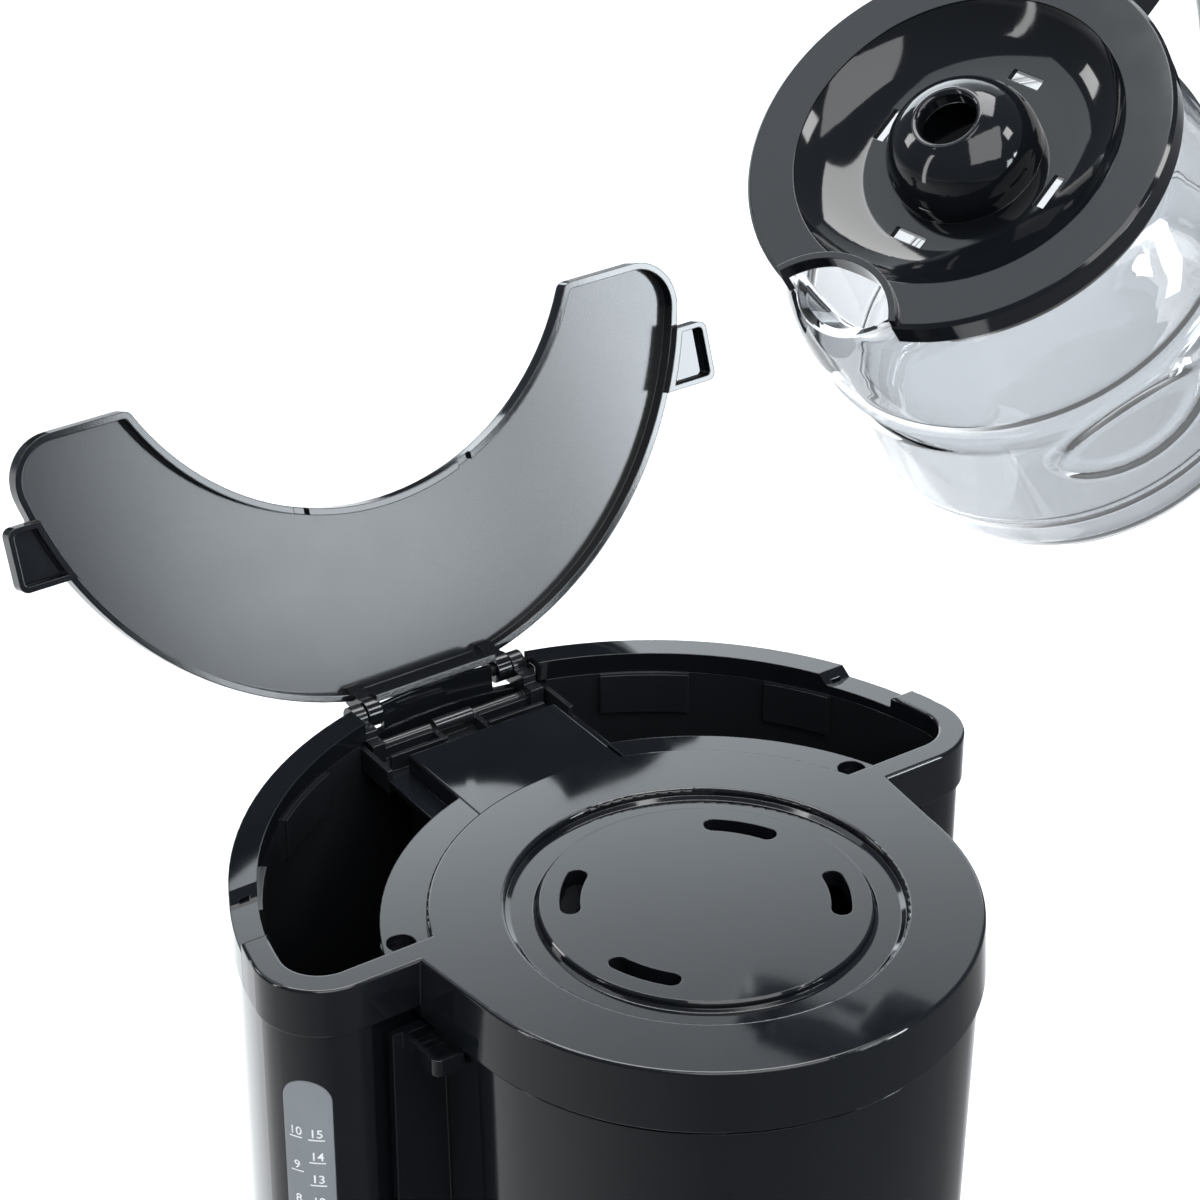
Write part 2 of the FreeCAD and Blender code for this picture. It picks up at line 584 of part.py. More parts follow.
def tank_lid():
    """Built closed, then swung to its open stop."""
    shell = crescent(0, LID_LOW, LID_TOP, 13.0, 3.0)
    shell = soften(shell, 1.6, lambda e: all(abs(v.Z - LID_TOP) < 1e-4 for v in e.Vertexes))
    hollow = crescent(-2.0, LID_LOW - 1, LID_TOP - LID_SKIN, 11.0, 1.5)
    shell = shell.cut(hollow)
    for x in (-27.0, 27.0):
        shell = shell.cut(box(x - 2.2, x + 2.2, 65, 78, LID_LOW - 1, LID_LOW + 1.6))
    plate = box(-ARM_IN - 0.5, ARM_IN + 0.5, 128.4, 130.4, TOP_Z - 6.8, LID_TOP - 1)
    pieces = [shell, plate, lid_tab(1), lid_tab(-1), lid_arm(ARM_IN, ARM_OUT), lid_arm(-ARM_OUT, -ARM_IN)]
    lid = fuse(pieces)
    lid.rotate(V(0, HINGE_Y, HINGE_Z), V(1, 0, 0), -LID_OPEN_DEG)
    return lid


# ---------------------------------------------------------------- swing-out filter
def filter_cup(shrink, z0, z1):
    def radius(z):
        share = (z - FILTER_LOW_Z) / (FILTER_TOP_Z - FILTER_LOW_Z)
        return FILTER_LOW_R + (FILTER_TOP_R - FILTER_LOW_R) * share - shrink
    return Part.makeCone(radius(z0), radius(z1), z1 - z0, V(0, 0, z0))


def grip_tab():
    """Rimmed tray at the left edge, pulled to swing the filter out."""
    x0, x1, y0, y1 = -81.6, -71.8, 2.4, WING_Y0 + 0.5
    z0, z1 = TOP_Z - 24.0, TOP_Z - 19.2
    tray = box(x0, x1, y0, y1, z0, z1)
    tray = soften(tray, 2.0, lambda e: abs(e.Vertexes[0].Z - e.Vertexes[1].Z) > 1
                  and e.Vertexes[0].Y < y0 + 1)
    tray = tray.cut(box(x0 + 1.3, x1 - 1.3, y0 + 1.3, y1 - 1.6, z0 + 1.4, z1 + 1))
    rib = box(x0 + 1, x1 - 1, y1 - 6.2, y1 - 5.2, z0 + 1, z1 - 1.2)
    return tray.fuse(rib)


def filter_housing():
    wing = box(-WING_X, SWING_X, WING_Y0, WING_Y1, FILTER_LOW_Z, FILTER_TOP_Z)
    knuckle_z0, knuckle_z1 = FILTER_LOW_Z + 4.3, FILTER_TOP_Z - 4.5
    knuckle = cyl(SWING_X, SWING_Y, KNUCKLE_R, knuckle_z0, knuckle_z1)
    clear = [cyl(SWING_X, SWING_Y, 5.3, FILTER_LOW_Z - 1, knuckle_z0),
             cyl(SWING_X, SWING_Y, 5.3, knuckle_z1, FILTER_TOP_Z + 1)]
    outer = filter_cup(0, FILTER_LOW_Z, FILTER_TOP_Z)
    wing = wing.cut(clear[0]).cut(clear[1])
    body = fuse([outer, wing, knuckle])
    body = body.cut(filter_cup(FILTER_WALL, FILTER_LOW_Z + FILTER_WALL, FILTER_TOP_Z + 0.01))
    shelf = filter_cup(1, FILTER_TOP_Z - 8, FILTER_TOP_Z - 5.2).cut(cyl(0, 0, 65.5, 0, TOP_Z))
    body = body.fuse([shelf, grip_tab()])
    body = body.cut(cyl(0, 0, 16.0, FILTER_LOW_Z - 1, FILTER_LOW_Z + 4))
    body = body.cut(cyl(SWING_X, SWING_Y, SWING_BORE_R, FILTER_LOW_Z - 1, FILTER_TOP_Z + 1))

    def rim_edge(e):
        mid = e.valueAt((e.FirstParameter + e.LastParameter) / 2)
        low = abs(mid.z - FILTER_LOW_Z) < 1e-4 and all(abs(v.Z - FILTER_LOW_Z) < 1e-4 for v in e.Vertexes)
        return low and abs(math.hypot(mid.x, mid.y) - FILTER_LOW_R) < 0.01
    return soften(body.removeSplitter(), 1.5, rim_edge)


def swing_pin():
    return cyl(SWING_X, SWING_Y, SWING_PIN_R, FILTER_LOW_Z + 0.2, FILTER_TOP_Z - 0.8)


def filter_basket():
    """Cone for the paper filter, with ribs inside and an outlet seat at the bottom."""
    top = FILTER_TOP_Z - 2.6
    cone = turned([(6, SEAT_Z - 12), (9, SEAT_Z - 12), (9, SEAT_Z - 2.2), (19, SEAT_Z - 2.2),
                   (64.6, top - 2), (68.6, top - 2), (68.6, top), (63.0, top), (17.4, SEAT_Z), (6, SEAT_Z)])
    ribs = []
    for k in range(12):
        fin = polygon([(20.5, -0.6, SEAT_Z + 2), (60.0, -0.6, top - 5), (61.6, -0.6, top - 5), (19.0, -0.6, SEAT_Z)])
        fin = fin.extrude(V(0, 1.2, 0))
        fin.rotate(V(0, 0, 0), UP, 30 * k)
        ribs.append(fin)
    return fuse([cone] + ribs)


def drip_stop_cage():
    cage = tube(0, 0, 13.0, 11.2, SEAT_Z, SEAT_Z + 17)
    cage = cage.fuse(cyl(0, 0, 13.0, SEAT_Z + 15, SEAT_Z + 17))
    for k in range(4):
        window = box(6, 16, -3.5, 3.5, SEAT_Z + 1.5, SEAT_Z + 12)
        window.rotate(V(0, 0, 0), UP, 45 + 90 * k)
        cage = cage.cut(window)
    return cage


def drip_stop_valve():
    """Plunger: foot pressed by the carafe's dome, stem, and the head that shuts the outlet."""
    return turned([(0, FOOT_Z), (9.5, FOOT_Z), (11, FOOT_Z + 1.2), (11, FOOT_Z + 2.4), (STEM_R, FOOT_Z + 4.5),
                   (STEM_R, SEAT_Z + 1.3), (8.8, SEAT_Z + 1.3), (8.8, SEAT_Z + 3.3), (3.6, SEAT_Z + 3.3),
                   (3.6, SEAT_Z + 7.0), (0, SEAT_Z + 7.0)])


def drip_stop_seal():
    return tube(0, 0, 8.6, STEM_R, SEAT_Z + 0.1, SEAT_Z + 1.3)


def drip_stop_spring():
    """Closed outer shape of the compression spring."""
    return tube(0, 0, 5.9, 4.2, SEAT_Z + 3.3, SEAT_Z + 15)


# ---------------------------------------------------------------- water path
def riser_tube():
    return tube(RISER_X, RISER_Y, PIPE_R, 3.4, 62, TOP_Z - 26)


def water_spout():
    """Elbow from the riser to above the middle of the filter."""
    z = TOP_Z - 12
    spout = bent_tube([(0, 92, z - 21), (0, 92, z), (0, 8, z)], 10, 5.6, PIPE_R + 0.05)
    head = cyl(0, 4, 7.5, SHOWER_Z + 1.3, z + 5)
    spout = spout.cut(cyl(0, 4, 7.4, 0, TOP_Z)).fuse(head)
    return spout.cut(cyl(0, 4, 5.0, SHOWER_Z, z + 3)).cut(rod(V(0, 4, z), V(0, 20, z), 4.0))


def shower_head():
    """Perforated pan that spreads the water, hung on three posts under the vented insert."""
    pan = tube(0, 0, 38, 36.8, SHOWER_Z, SHOWER_Z + 3.5).fuse(cyl(0, 0, 37, SHOWER_Z, SHOWER_Z + 1.2))
    pan = pan.cut(box(-6.2, 6.2, 30, 40, SHOWER_Z + 1.2, SHOWER_Z + 5))
    for ring_r, count in ((11, 6), (20, 12), (28, 16)):
        for k in range(count):
            a = 2 * math.pi * k / count
            pan = pan.cut(cyl(ring_r * math.cos(a), ring_r * math.sin(a), 1.6, SHOWER_Z - 1, SHOWER_Z + 3))
    posts = []
    for deg in (30, 150, 270):
        a = math.radians(deg)
        posts.append(cyl(33 * math.cos(a), 33 * math.sin(a), 2.5, SHOWER_Z + 1, TOP_Z - 4.95))
    return fuse([pan] + posts)


# ---------------------------------------------------------------- base
def base_plan_block(inset, z0, z1):
    block = body_prism(inset, z0, z1).fuse(cyl(0, 0, BASE_R - inset, z0, z1))
    return block.removeSplitter()


def base_housing():
    outer = base_plan_block(0, FOOT_H, BASE_TOP)
    inner_corner = [e for e in outer.Edges if len(e.Vertexes) == 2
                    and abs(e.Vertexes[0].Z - e.Vertexes[1].Z) > 10
                    and abs(e.Vertexes[0].Y - TANK_FRONT_Y) < 0.1 and abs(e.Vertexes[0].X) < 80]
    outer = outer.makeFillet(6.0, inner_corner)
    outer = soften(outer, 2.0, lambda e: all(abs(v.Z - BASE_TOP) < 1e-4 for v in e.Vertexes))
    shell = outer.cut(base_plan_block(WALL, FOOT_H - 1, BASE_TOP - WALL))
    shell = shell.cut(cyl(0, 0, PLATE_R + 2.6, BASE_TOP - 5, BASE_TOP + 1))
    shell = shell.cut(box(-9.8, 9.8, -80, -70, SWITCH_Z - 6.8, SWITCH_Z + 6.8))
    shell = shell.cut(rod(V(GLAND_X, 115, GLAND_Z), V(GLAND_X, 140, GLAND_Z), 6.0))
    for x, y in ((VALVE_X, VALVE_Y), (RISER_X, RISER_Y)):
        shell = shell.cut(cyl(x, y, HOSE_R + 0.4, BASE_TOP - 5, BASE_TOP + 1))
    posts = [tube(x, y, 4.2, 1.5, FOOT_H + 2.2, BASE_TOP - WALL + 0.1) for x, y in BOTTOM_SCREWS]
    return fuse([shell] + posts)


def bottom_plate():
    plate = base_plan_block(WALL + 0.2, FOOT_H, FOOT_H + 2)
    for x, y in BOTTOM_SCREWS:
        plate = plate.cut(cyl(x, y, 1.8, 0, 10))
    for k in range(7):
        plate = plate.cut(box(-24 + 8 * k - 1.5, -24 + 8 * k + 1.5, 60, 84, 0, 10))
    return plate


def feet():
    return group([Part.makeCone(8.5, 9.5, FOOT_H, V(x, y, 0)) for x, y in FEET])


def bottom_screws():
    screws = []
    for x, y in BOTTOM_SCREWS:
        head = Part.makeCone(2.2, 3.4, 1.6, V(x, y, FOOT_H - 1.6))
        screws.append(fuse([head, cyl(x, y, 1.5, FOOT_H - 0.5, FOOT_H + 14)]))
    return group(screws)


def hot_plate():
    plate = turned([(0, PLATE_TOP - 3), (PLATE_R - 3, PLATE_TOP - 3), (PLATE_R - 3, PLATE_TOP - 6),
                    (PLATE_R, PLATE_TOP - 6), (PLATE_R, PLATE_TOP - 1), (PLATE_R - 1, PLATE_TOP), (0, PLATE_TOP)])
    return plate


def hot_plate_seal():
    return turned([(PLATE_R + 0.02, BASE_TOP - 3), (PLATE_R + 2.55, BASE_TOP - 3),
                   (PLATE_R + 2.55, BASE_TOP + 0.02), (PLATE_R + 4.2, BASE_TOP + 0.02),
                   (PLATE_R + 3.6, BASE_TOP + 1.2), (PLATE_R + 0.02, BASE_TOP + 1.6)])


def arc_tube(r_path, r_tube, z, gap_deg):
    """Round bar bent round the plate's axis, open towards the back."""
    start = math.radians(90 + gap_deg / 2)
    centre = V(r_path * math.cos(start), r_path * math.sin(start), z)
    tangent = V(-math.sin(start), math.cos(start), 0)
    ring = Part.Face(Part.Wire(Part.Circle(centre, tangent, r_tube).toShape()))
    return ring.revolve(V(0, 0, z), UP, 360 - gap_deg)


def heating_element():
    return arc_tube(33, 4.2, PLATE_TOP - 3 - 4.3, 70)


def water_heating_tube():
    """Tube beside the element; its two ends turn down to take the hoses."""
    r_path, r_tube, z = 44.5, 4.8, PLATE_TOP - 3 - 4.9
    bend = arc_tube(r_path, r_tube, z, 60)
    ends = []
    for sign in (-1, 1):
        a = math.radians(90 + sign * 30)
        x, y = r_path * math.cos(a), r_path * math.sin(a)
        ends.append(Part.makeSphere(r_tube, V(x, y, z)))
        ends.append(cyl(x, y, r_tube, z - PORT_DROP, z))
    return fuse([bend] + ends)


def heater_clamp():
    bar = box(-52, 52, -6, 6, PLATE_TOP - 16, PLATE_TOP - 14)
    return bar


def thermostat():
    return cyl(0, 0, 9, PLATE_TOP - 14, PLATE_TOP - 5).fuse(cyl(0, 0, 6.5, PLATE_TOP - 5, PLATE_TOP - 3))


def thermal_fuses():
    return group([rod(V(-20, y, PLATE_TOP - 12), V(-8.5 - 3.2, y, PLATE_TOP - 12), 2.0) for y in (-16, 16)])


def heater_ports():
    a = math.radians(60)
    return 44.5 * math.cos(a), 44.5 * math.sin(a), PLATE_TOP - 3 - 4.9 - PORT_DROP


def hose(x, y, z, far_x, far_y, far_z):
    """Hose pushed over a spigot at each end, running low through the base."""
    ends = [(x, y, z), (x, y, HOSE_LOW), (far_x, far_y, HOSE_LOW), (far_x, far_y, far_z)]
    return bent_tube(ends, 7.5, HOSE_R, PIPE_R + 0.05)


def inlet_hose():
    x, y, z = heater_ports()
    return hose(x, y, z + SPIGOT, VALVE_X, VALVE_Y, VALVE_Z + SPIGOT)


def outlet_hose():
    x, y, z = heater_ports()
    return hose(-x, y, z + SPIGOT, RISER_X, RISER_Y, 62 + 2 * SPIGOT)


def check_valve():
    """One-way valve between the tank's outlet and the inlet hose."""
    body_z = VALVE_Z + SPIGOT + 0.2
    body = cyl(VALVE_X, VALVE_Y, PIPE_R, VALVE_Z, TANK_FLOOR_Z - 12.1)
    body = body.fuse(cyl(VALVE_X, VALVE_Y, 7.8, body_z, TANK_FLOOR_Z - 12.1))
    return body.cut(cyl(VALVE_X, VALVE_Y, 3.2, 0, TANK_FLOOR_Z))


def hose_clamps():
    clamps = []
    x, y, z = heater_ports()
    for cx, cy, cz in ((x, y, z), (-x, y, z), (VALVE_X, VALVE_Y, VALVE_Z), (RISER_X, RISER_Y, 62)):
        clamps.append(tube(cx, cy, HOSE_R + 0.8, HOSE_R + 0.03, cz + 0.5, cz + 4))
    return group(clamps)


def cord_gland():
    x, z = GLAND_X, GLAND_Z
    wall_y = TANK_CENTRE_Y + math.sqrt(TANK_R ** 2 - x ** 2)
    gland = rod(V(x, wall_y - 8, z), V(x, wall_y + 4.5, z), 5.95)
    flange = rod(V(x, wall_y - 3, z), V(x, wall_y + 4.5, z), 8.0)
    flange = flange.cut(body_prism(-0.05, 0, 40))
    return gland.fuse(flange).cut(rod(V(x, wall_y - 9, z), V(x, wall_y + 6, z), 3.3))


# ---------------------------------------------------------------- switch
def switch_bezel():
    frame = box(-13, 13, -80.4, -76, SWITCH_Z - 9.6, SWITCH_Z + 9.6)
    frame = soften(frame, 2.0, lambda e: abs(e.Vertexes[0].Y - e.Vertexes[1].Y) > 1)
    frame = frame.cut(cyl(0, 0, BASE_R + 0.02, 0, 50))
    sleeve = box(-9.7, 9.7, -79, -71, SWITCH_Z - 6.7, SWITCH_Z + 6.7)
    frame = frame.fuse(sleeve)
    return frame.cut(box(-8.6, 8.6, -90, -60, SWITCH_Z - 5.9, SWITCH_Z + 5.9))


def switch_body():
    return box(-9.7, 9.7, -70.9, -58, SWITCH_Z - 6.7, SWITCH_Z + 6.7)


def rocker_block(half_x, grow):
    """Shallow V-faced rocker in the off position."""
    y = ROCKER_Y
    side = polygon([(-half_x, y - 5.2 - grow, SWITCH_Z), (-half_x, y - 6.0 - grow, SWITCH_Z + 5.0),
                    (-half_x, y + 2.6, SWITCH_Z + 4.4), (-half_x, y + 2.6, SWITCH_Z - 4.4),
                    (-half_x, y - 6.0 - grow, SWITCH_Z - 5.0)])
    block = side.extrude(V(2 * half_x, 0, 0))
    block.rotate(V(0, y, SWITCH_Z), V(1, 0, 0), ROCKER_TILT)
    return block


def rocker_window():
    """Where the lens sits in the rocker's face."""
    lens = box(-6.2, 6.2, ROCKER_Y - 8, ROCKER_Y - 3.6, SWITCH_Z + 1.0, SWITCH_Z + 3.6)
    lens.rotate(V(0, ROCKER_Y, SWITCH_Z), V(1, 0, 0), ROCKER_TILT)
    return lens


def power_rocker():
    return rocker_block(8.4, 0).cut(rocker_window())


def rocker_lens():
    return rocker_window().common(rocker_block(8.4, 0.15))


# ---------------------------------------------------------------- carafe (local frame)
def to_pose(shape):
    """Carry a carafe piece from its own upright frame to the tipped pose over the tank."""
    turn = FreeCAD.Rotation(UP, CARAFE_SPIN)
    tilt = FreeCAD.Rotation(V(0, 1, 0), CARAFE_TILT)
    heading = FreeCAD.Rotation(UP, CARAFE_HEADING)
    rotation = heading.multiply(tilt).multiply(turn)
    offset = CARAFE_RIM.sub(rotation.multVec(V(0, 0, CARAFE_H)))
    moved = shape.copy()
    moved.Placement = FreeCAD.Placement(offset, rotation).multiply(moved.Placement)
    return moved


def glass_surface(inset, top):
    """Turned solid inside the glass's outer face, moved in by inset."""
    pts = [(54.5, 0.0), (58.6, 2.2), (61.0, 7.0), (63.5, 20.0), (63.5, 56.0), (62.4, 59.0), (62.4, 62.0),
           (63.5, 65.0), (63.0, 80.0), (60.5, 94.0), (57.2, 104.0), (56.6, 108.0), (56.6, top)]
    moved = [(r - inset, max(z, inset)) for r, z in pts]
    points = [V(r, 0, z) for r, z in moved]
    body = [line(V(0, 0, moved[0][1]), points[0])]
    body += [arc(points[0], V(points[1].x - 0.3, 0, points[1].z + 0.2), points[2]),
             arc(points[2], V(points[2].x + (points[3].x - points[2].x) * 0.62, 0,
                              (points[2].z + points[3].z) / 2), points[3]),
             line(points[3], points[4]), line(points[4], points[5]), line(points[5], points[6]),
             line(points[6], points[7]),
             arc(points[7], V(points[8].x, 0, points[8].z), points[9]),
             line(points[9], points[10]), line(points[10], points[11]), line(points[11], points[12]),
             line(points[12], V(0, 0, top)), line(V(0, 0, top), V(0, 0, moved[0][1]))]
    return Part.Face(Part.Wire(body)).revolve(V(0, 0, 0), UP, 360)


def spout_cone(grow):
    """Pouring lip that leans out of the neck towards +X."""
    return Part.makeCone(5 + grow, 20 + grow, 34, V(38, 0, 86), V(0.28, 0, 1))


def carafe_glass():
    rim_z = 117.4
    outer = glass_surface(0, rim_z)
    lip = spout_cone(0).common(cyl(0, 0, 71, 80, rim_z))
    inner = glass_surface(GLASS_T, rim_z + 1)
    lip_in = spout_cone(-GLASS_T).common(cyl(0, 0, 80, 92, rim_z + 1))
    glass = outer.fuse(lip).cut(inner.fuse(lip_in))
    return glass.removeSplitter()


def carafe_band():
    ring = tube(0, 0, 57.7, 56.62, 109.0, 113.6)
    return ring.cut(box(30, 80, -30, 30, 100, 130))


def carafe_lid():
    """Wide flat rim, a bowl, and a hollow dome with a drip hole above a tapered collar."""
    top = CARAFE_H
    skirt_z = top - 7.4
    t = 1.9
    floor_z = top - 9.4
    dome_top = top + 9.2
    collar_z = top - 24.0

    def flat(*points):
        return [line(V(r0, 0, z0), V(r1, 0, z1)) for (r0, z0), (r1, z1) in zip(points, points[1:])]

    edges = [arc(V(8.0, 0, dome_top - 1.0), V(8.9, 0, dome_top + 0.2), V(10.2, 0, dome_top)),
             arc(V(10.2, 0, dome_top), V(18.4, 0, top + 3.0), V(21.2, 0, floor_z))]
    edges += flat((21.2, floor_z), (27.0, floor_z))
    edges.append(arc(V(27.0, 0, floor_z), V(38.5, 0, top - 6.9), V(46.4, 0, top - 0.5)))
    edges += flat((46.4, top - 0.5), (46.4, top), (59.0, top), (LID_RIM_R, top - 1.0), (LID_RIM_R, skirt_z),
                  (58.3, skirt_z), (58.3, top - t), (47.6, top - t))
    edges.append(arc(V(47.6, 0, top - t), V(39.2, 0, top - 6.9 - t), V(27.0, 0, floor_z - t)))
    edges += flat((27.0, floor_z - t), (20.9, floor_z - t), (16.4, collar_z), (14.9, collar_z), (19.2, floor_z - t))
    edges.append(arc(V(19.2, 0, floor_z - t), V(16.4, 0, top + 2.0), V(8.0, 0, dome_top - 4.4)))
    edges += flat((8.0, dome_top - 4.4), (8.0, dome_top - 1.0))
    lid = Part.Face(Part.Wire(edges)).revolve(V(0, 0, 0), UP, 360)
    for k in range(4):
        slot = box(26.2, 29.6, -5.2, 5.2, top - 14, top - 2)
        slot.rotate(V(0, 0, 0), UP, 90 * k)
        lid = lid.cut(slot)
    notch = cyl(67.5, 0, 22.0, top - 12, top + 1)
    lid = lid.cut(notch)
    lip = tube(67.5, 0, 24.0, 22.0, top - 2.2, top + 2.2).common(cyl(0, 0, 59.6, top - 5, top + 3))
    lid = lid.fuse(lip)
    relief = polygon([(-30, 0, 0), (-30 - 90, 75, 0), (-30 - 90, -75, 0)])
    lid = lid.cut(extrude(relief, skirt_z - 1, top - t - 0.7).cut(cyl(0, 0, 57.0, 0, 130)))
    lid = lid.cut(spout_cone(0.4).common(tube(0, 0, 90, 57, 80, top - t - 0.6)))
    lid = lid.cut(box(-70, -57.2, -6.5, 6.5, skirt_z - 1, top + 2))
    for y0, y1 in ((-10.5, -6.5), (6.5, 10.5)):
        ear = rod(V(CARAFE_PIN_X, y0, CARAFE_PIN_Z), V(CARAFE_PIN_X, y1, CARAFE_PIN_Z), 3.2)
        ear = ear.fuse(box(CARAFE_PIN_X, -55.5, y0, y1, top - t, top + 0.6))
        lid = lid.fuse(ear)
    bore = rod(V(CARAFE_PIN_X, -12, CARAFE_PIN_Z), V(CARAFE_PIN_X, 12, CARAFE_PIN_Z), 1.58)
    return lid.cut(bore).removeSplitter()


def carafe_lid_pin():
    return rod(V(CARAFE_PIN_X, -10.5, CARAFE_PIN_Z), V(CARAFE_PIN_X, 10.5, CARAFE_PIN_Z), 1.5)


def carafe_handle():
    """Mounting block at the neck and a grip that curves out and down, open at its lower end."""
    block = box(-74, -57.0, -11, 11, 98, 114.9)
    block = block.cut(cyl(0, 0, 57.75, 90, 120)).cut(cyl(0, 0, 61.2, 90, 103))
    tongue = rod(V(CARAFE_PIN_X, -6, CARAFE_PIN_Z), V(CARAFE_PIN_X, 6, CARAFE_PIN_Z), 3.2)
    tongue = tongue.fuse(box(CARAFE_PIN_X - 3.2, CARAFE_PIN_X + 3.2, -6, 6, 112, CARAFE_PIN_Z))
    path = Part.Wire([line(V(-68, 0, 107), V(-84, 0, 107)),
                      arc(V(-84, 0, 107), V(-98.5, 0, 99), V(-103, 0, 84)),
                      arc(V(-103, 0, 84), V(-102.5, 0, 55), V(-93, 0, 28))])
    section = Part.Wire(Part.Ellipse(V(-68, 0, 107), 10.5, 7.0).toShape())
    section.rotate(V(-68, 0, 107), UP, 90)
    section.rotate(V(-68, 0, 107), V(0, 1, 0), 90)
    grip = path.makePipeShell([section], True, True)
    grip = grip.cut(cyl(0, 0, 66, 90, 120))
    handle = fuse([block, tongue, grip])
    handle = handle.cut(rod(V(CARAFE_PIN_X, -7, CARAFE_PIN_Z), V(CARAFE_PIN_X, 7, CARAFE_PIN_Z), 1.5))
    return handle.cut(rod(V(-50, 0, 104), V(-72, 0, 104), 1.6))


def handle_screw():
    return fuse([rod(V(-57.75, 0, 104), V(-71, 0, 104), 1.6), rod(V(-57.75, 0, 104), V(-59, 0, 104), 1.6)])


# ---------------------------------------------------------------- write every sub-part
PIECES = {
    "top_cover": top_cover,
    "vent_disc": vent_disc,
    "cover_screws": cover_screws,
    "channel_cover": channel_cover,
    "rear_housing": rear_housing,
    "level_window": level_window,
    "water_tank": water_tank,
    "hinge_bracket": hinge_bracket,
    "lid_hinge_pins": lid_pins,
    "tank_lid": tank_lid,
    "filter_housing": filter_housing,
    "filter_swing_pin": swing_pin,
    "filter_basket": filter_basket,
    "drip_stop_cage": drip_stop_cage,
    "drip_stop_valve": drip_stop_valve,
    "drip_stop_seal": drip_stop_seal,
    "drip_stop_spring": drip_stop_spring,
    "riser_tube": riser_tube,
    "water_spout": water_spout,
    "shower_head": shower_head,
    "base_housing": base_housing,
    "bottom_plate": bottom_plate,
    "rubber_feet": feet,
    "bottom_screws": bottom_screws,
    "hot_plate": hot_plate,
    "hot_plate_seal": hot_plate_seal,
    "heating_element": heating_element,
    "water_heating_tube": water_heating_tube,
    "heater_clamp": heater_clamp,
    "thermostat": thermostat,
    "thermal_fuses": thermal_fuses,
    "inlet_hose": inlet_hose,
    "outlet_hose": outlet_hose,
    "check_valve": check_valve,
    "hose_clamps": hose_clamps,
    "cord_gland": cord_gland,
    "switch_bezel": switch_bezel,
    "switch_body": switch_body,
    "power_rocker": power_rocker,
    "rocker_lens": rocker_lens,
}

CARAFE_PIECES = {
    "carafe_glass": carafe_glass,
    "carafe_band": carafe_band,
    "carafe_lid": carafe_lid,
    "carafe_lid_pin": carafe_lid_pin,
    "carafe_handle": carafe_handle,
    "handle_screw": handle_screw,
}

for name, make in PIECES.items():
    export(name, make())

for name, make in CARAFE_PIECES.items():
    export(name, to_pose(make()))
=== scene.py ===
import bpy, bmesh, json, math
from mathutils import Vector, Matrix


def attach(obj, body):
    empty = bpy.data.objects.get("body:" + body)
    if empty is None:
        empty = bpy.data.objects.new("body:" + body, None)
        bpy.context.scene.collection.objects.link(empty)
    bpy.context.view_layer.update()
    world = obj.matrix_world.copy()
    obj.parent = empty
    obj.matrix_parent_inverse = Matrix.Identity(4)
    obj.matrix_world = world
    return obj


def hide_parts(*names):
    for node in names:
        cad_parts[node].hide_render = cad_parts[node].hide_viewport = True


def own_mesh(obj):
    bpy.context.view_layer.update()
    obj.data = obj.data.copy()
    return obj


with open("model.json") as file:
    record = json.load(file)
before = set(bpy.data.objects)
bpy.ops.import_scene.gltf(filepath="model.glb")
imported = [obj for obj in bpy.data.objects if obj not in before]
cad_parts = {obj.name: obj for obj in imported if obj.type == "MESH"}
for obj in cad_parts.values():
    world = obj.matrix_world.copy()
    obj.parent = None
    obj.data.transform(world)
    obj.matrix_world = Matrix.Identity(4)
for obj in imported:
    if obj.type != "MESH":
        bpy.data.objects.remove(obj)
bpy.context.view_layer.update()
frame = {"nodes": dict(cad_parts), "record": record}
scene = bpy.context.scene
MM = 0.001
TOP = 0.310


# ---------------------------------------------------------------- node helpers
def new_material(name, shader_type="ShaderNodeBsdfPrincipled"):
    """Material that holds one shader, wired to its output."""
    material = bpy.data.materials.new(name)
    material.use_nodes = True
    tree = material.node_tree
    tree.nodes.clear()
    output = tree.nodes.new("ShaderNodeOutputMaterial")
    shader = tree.nodes.new(shader_type)
    tree.links.new(shader.outputs[0], output.inputs[0])
    return material, tree, shader


BEVEL_SAMPLES = 6
EDGE_STARTS, EDGE_FULL = 0.97, 0.85


def coords(tree):
    return tree.nodes.new("ShaderNodeTexCoord").outputs["Object"]


def noise(tree, vector, scale, detail=4.0, rough=0.6):
    node = tree.nodes.new("ShaderNodeTexNoise")
    node.inputs["Scale"].default_value = scale
    node.inputs["Detail"].default_value = detail
    node.inputs["Roughness"].default_value = rough
    tree.links.new(vector, node.inputs["Vector"])
    return node.outputs["Fac"]


def ramp(tree, factor, stops):
    """Colour ramp through (position, colour) stops."""
    node = tree.nodes.new("ShaderNodeValToRGB")
    elements = node.color_ramp.elements
    while len(elements) > 1:
        elements.remove(elements[-1])
    elements[0].position = stops[0][0]
    elements[0].color = (*stops[0][1], 1)
    for position, colour in stops[1:]:
        elements.new(position).color = (*colour, 1)
    tree.links.new(factor, node.inputs[0])
    return node.outputs[0]


def two_tone(tree, factor, dark, light, low=0.3, high=0.7):
    """Clouds of two close colours, which keep a large face from looking flat."""
    return ramp(tree, factor, [(low, dark), (high, light)])


def map_range(tree, factor, from_low, from_high, to_low, to_high):
    node = tree.nodes.new("ShaderNodeMapRange")
    node.inputs["From Min"].default_value = from_low
    node.inputs["From Max"].default_value = from_high
    node.inputs["To Min"].default_value = to_low
    node.inputs["To Max"].default_value = to_high
    tree.links.new(factor, node.inputs["Value"])
    return node.outputs[0]


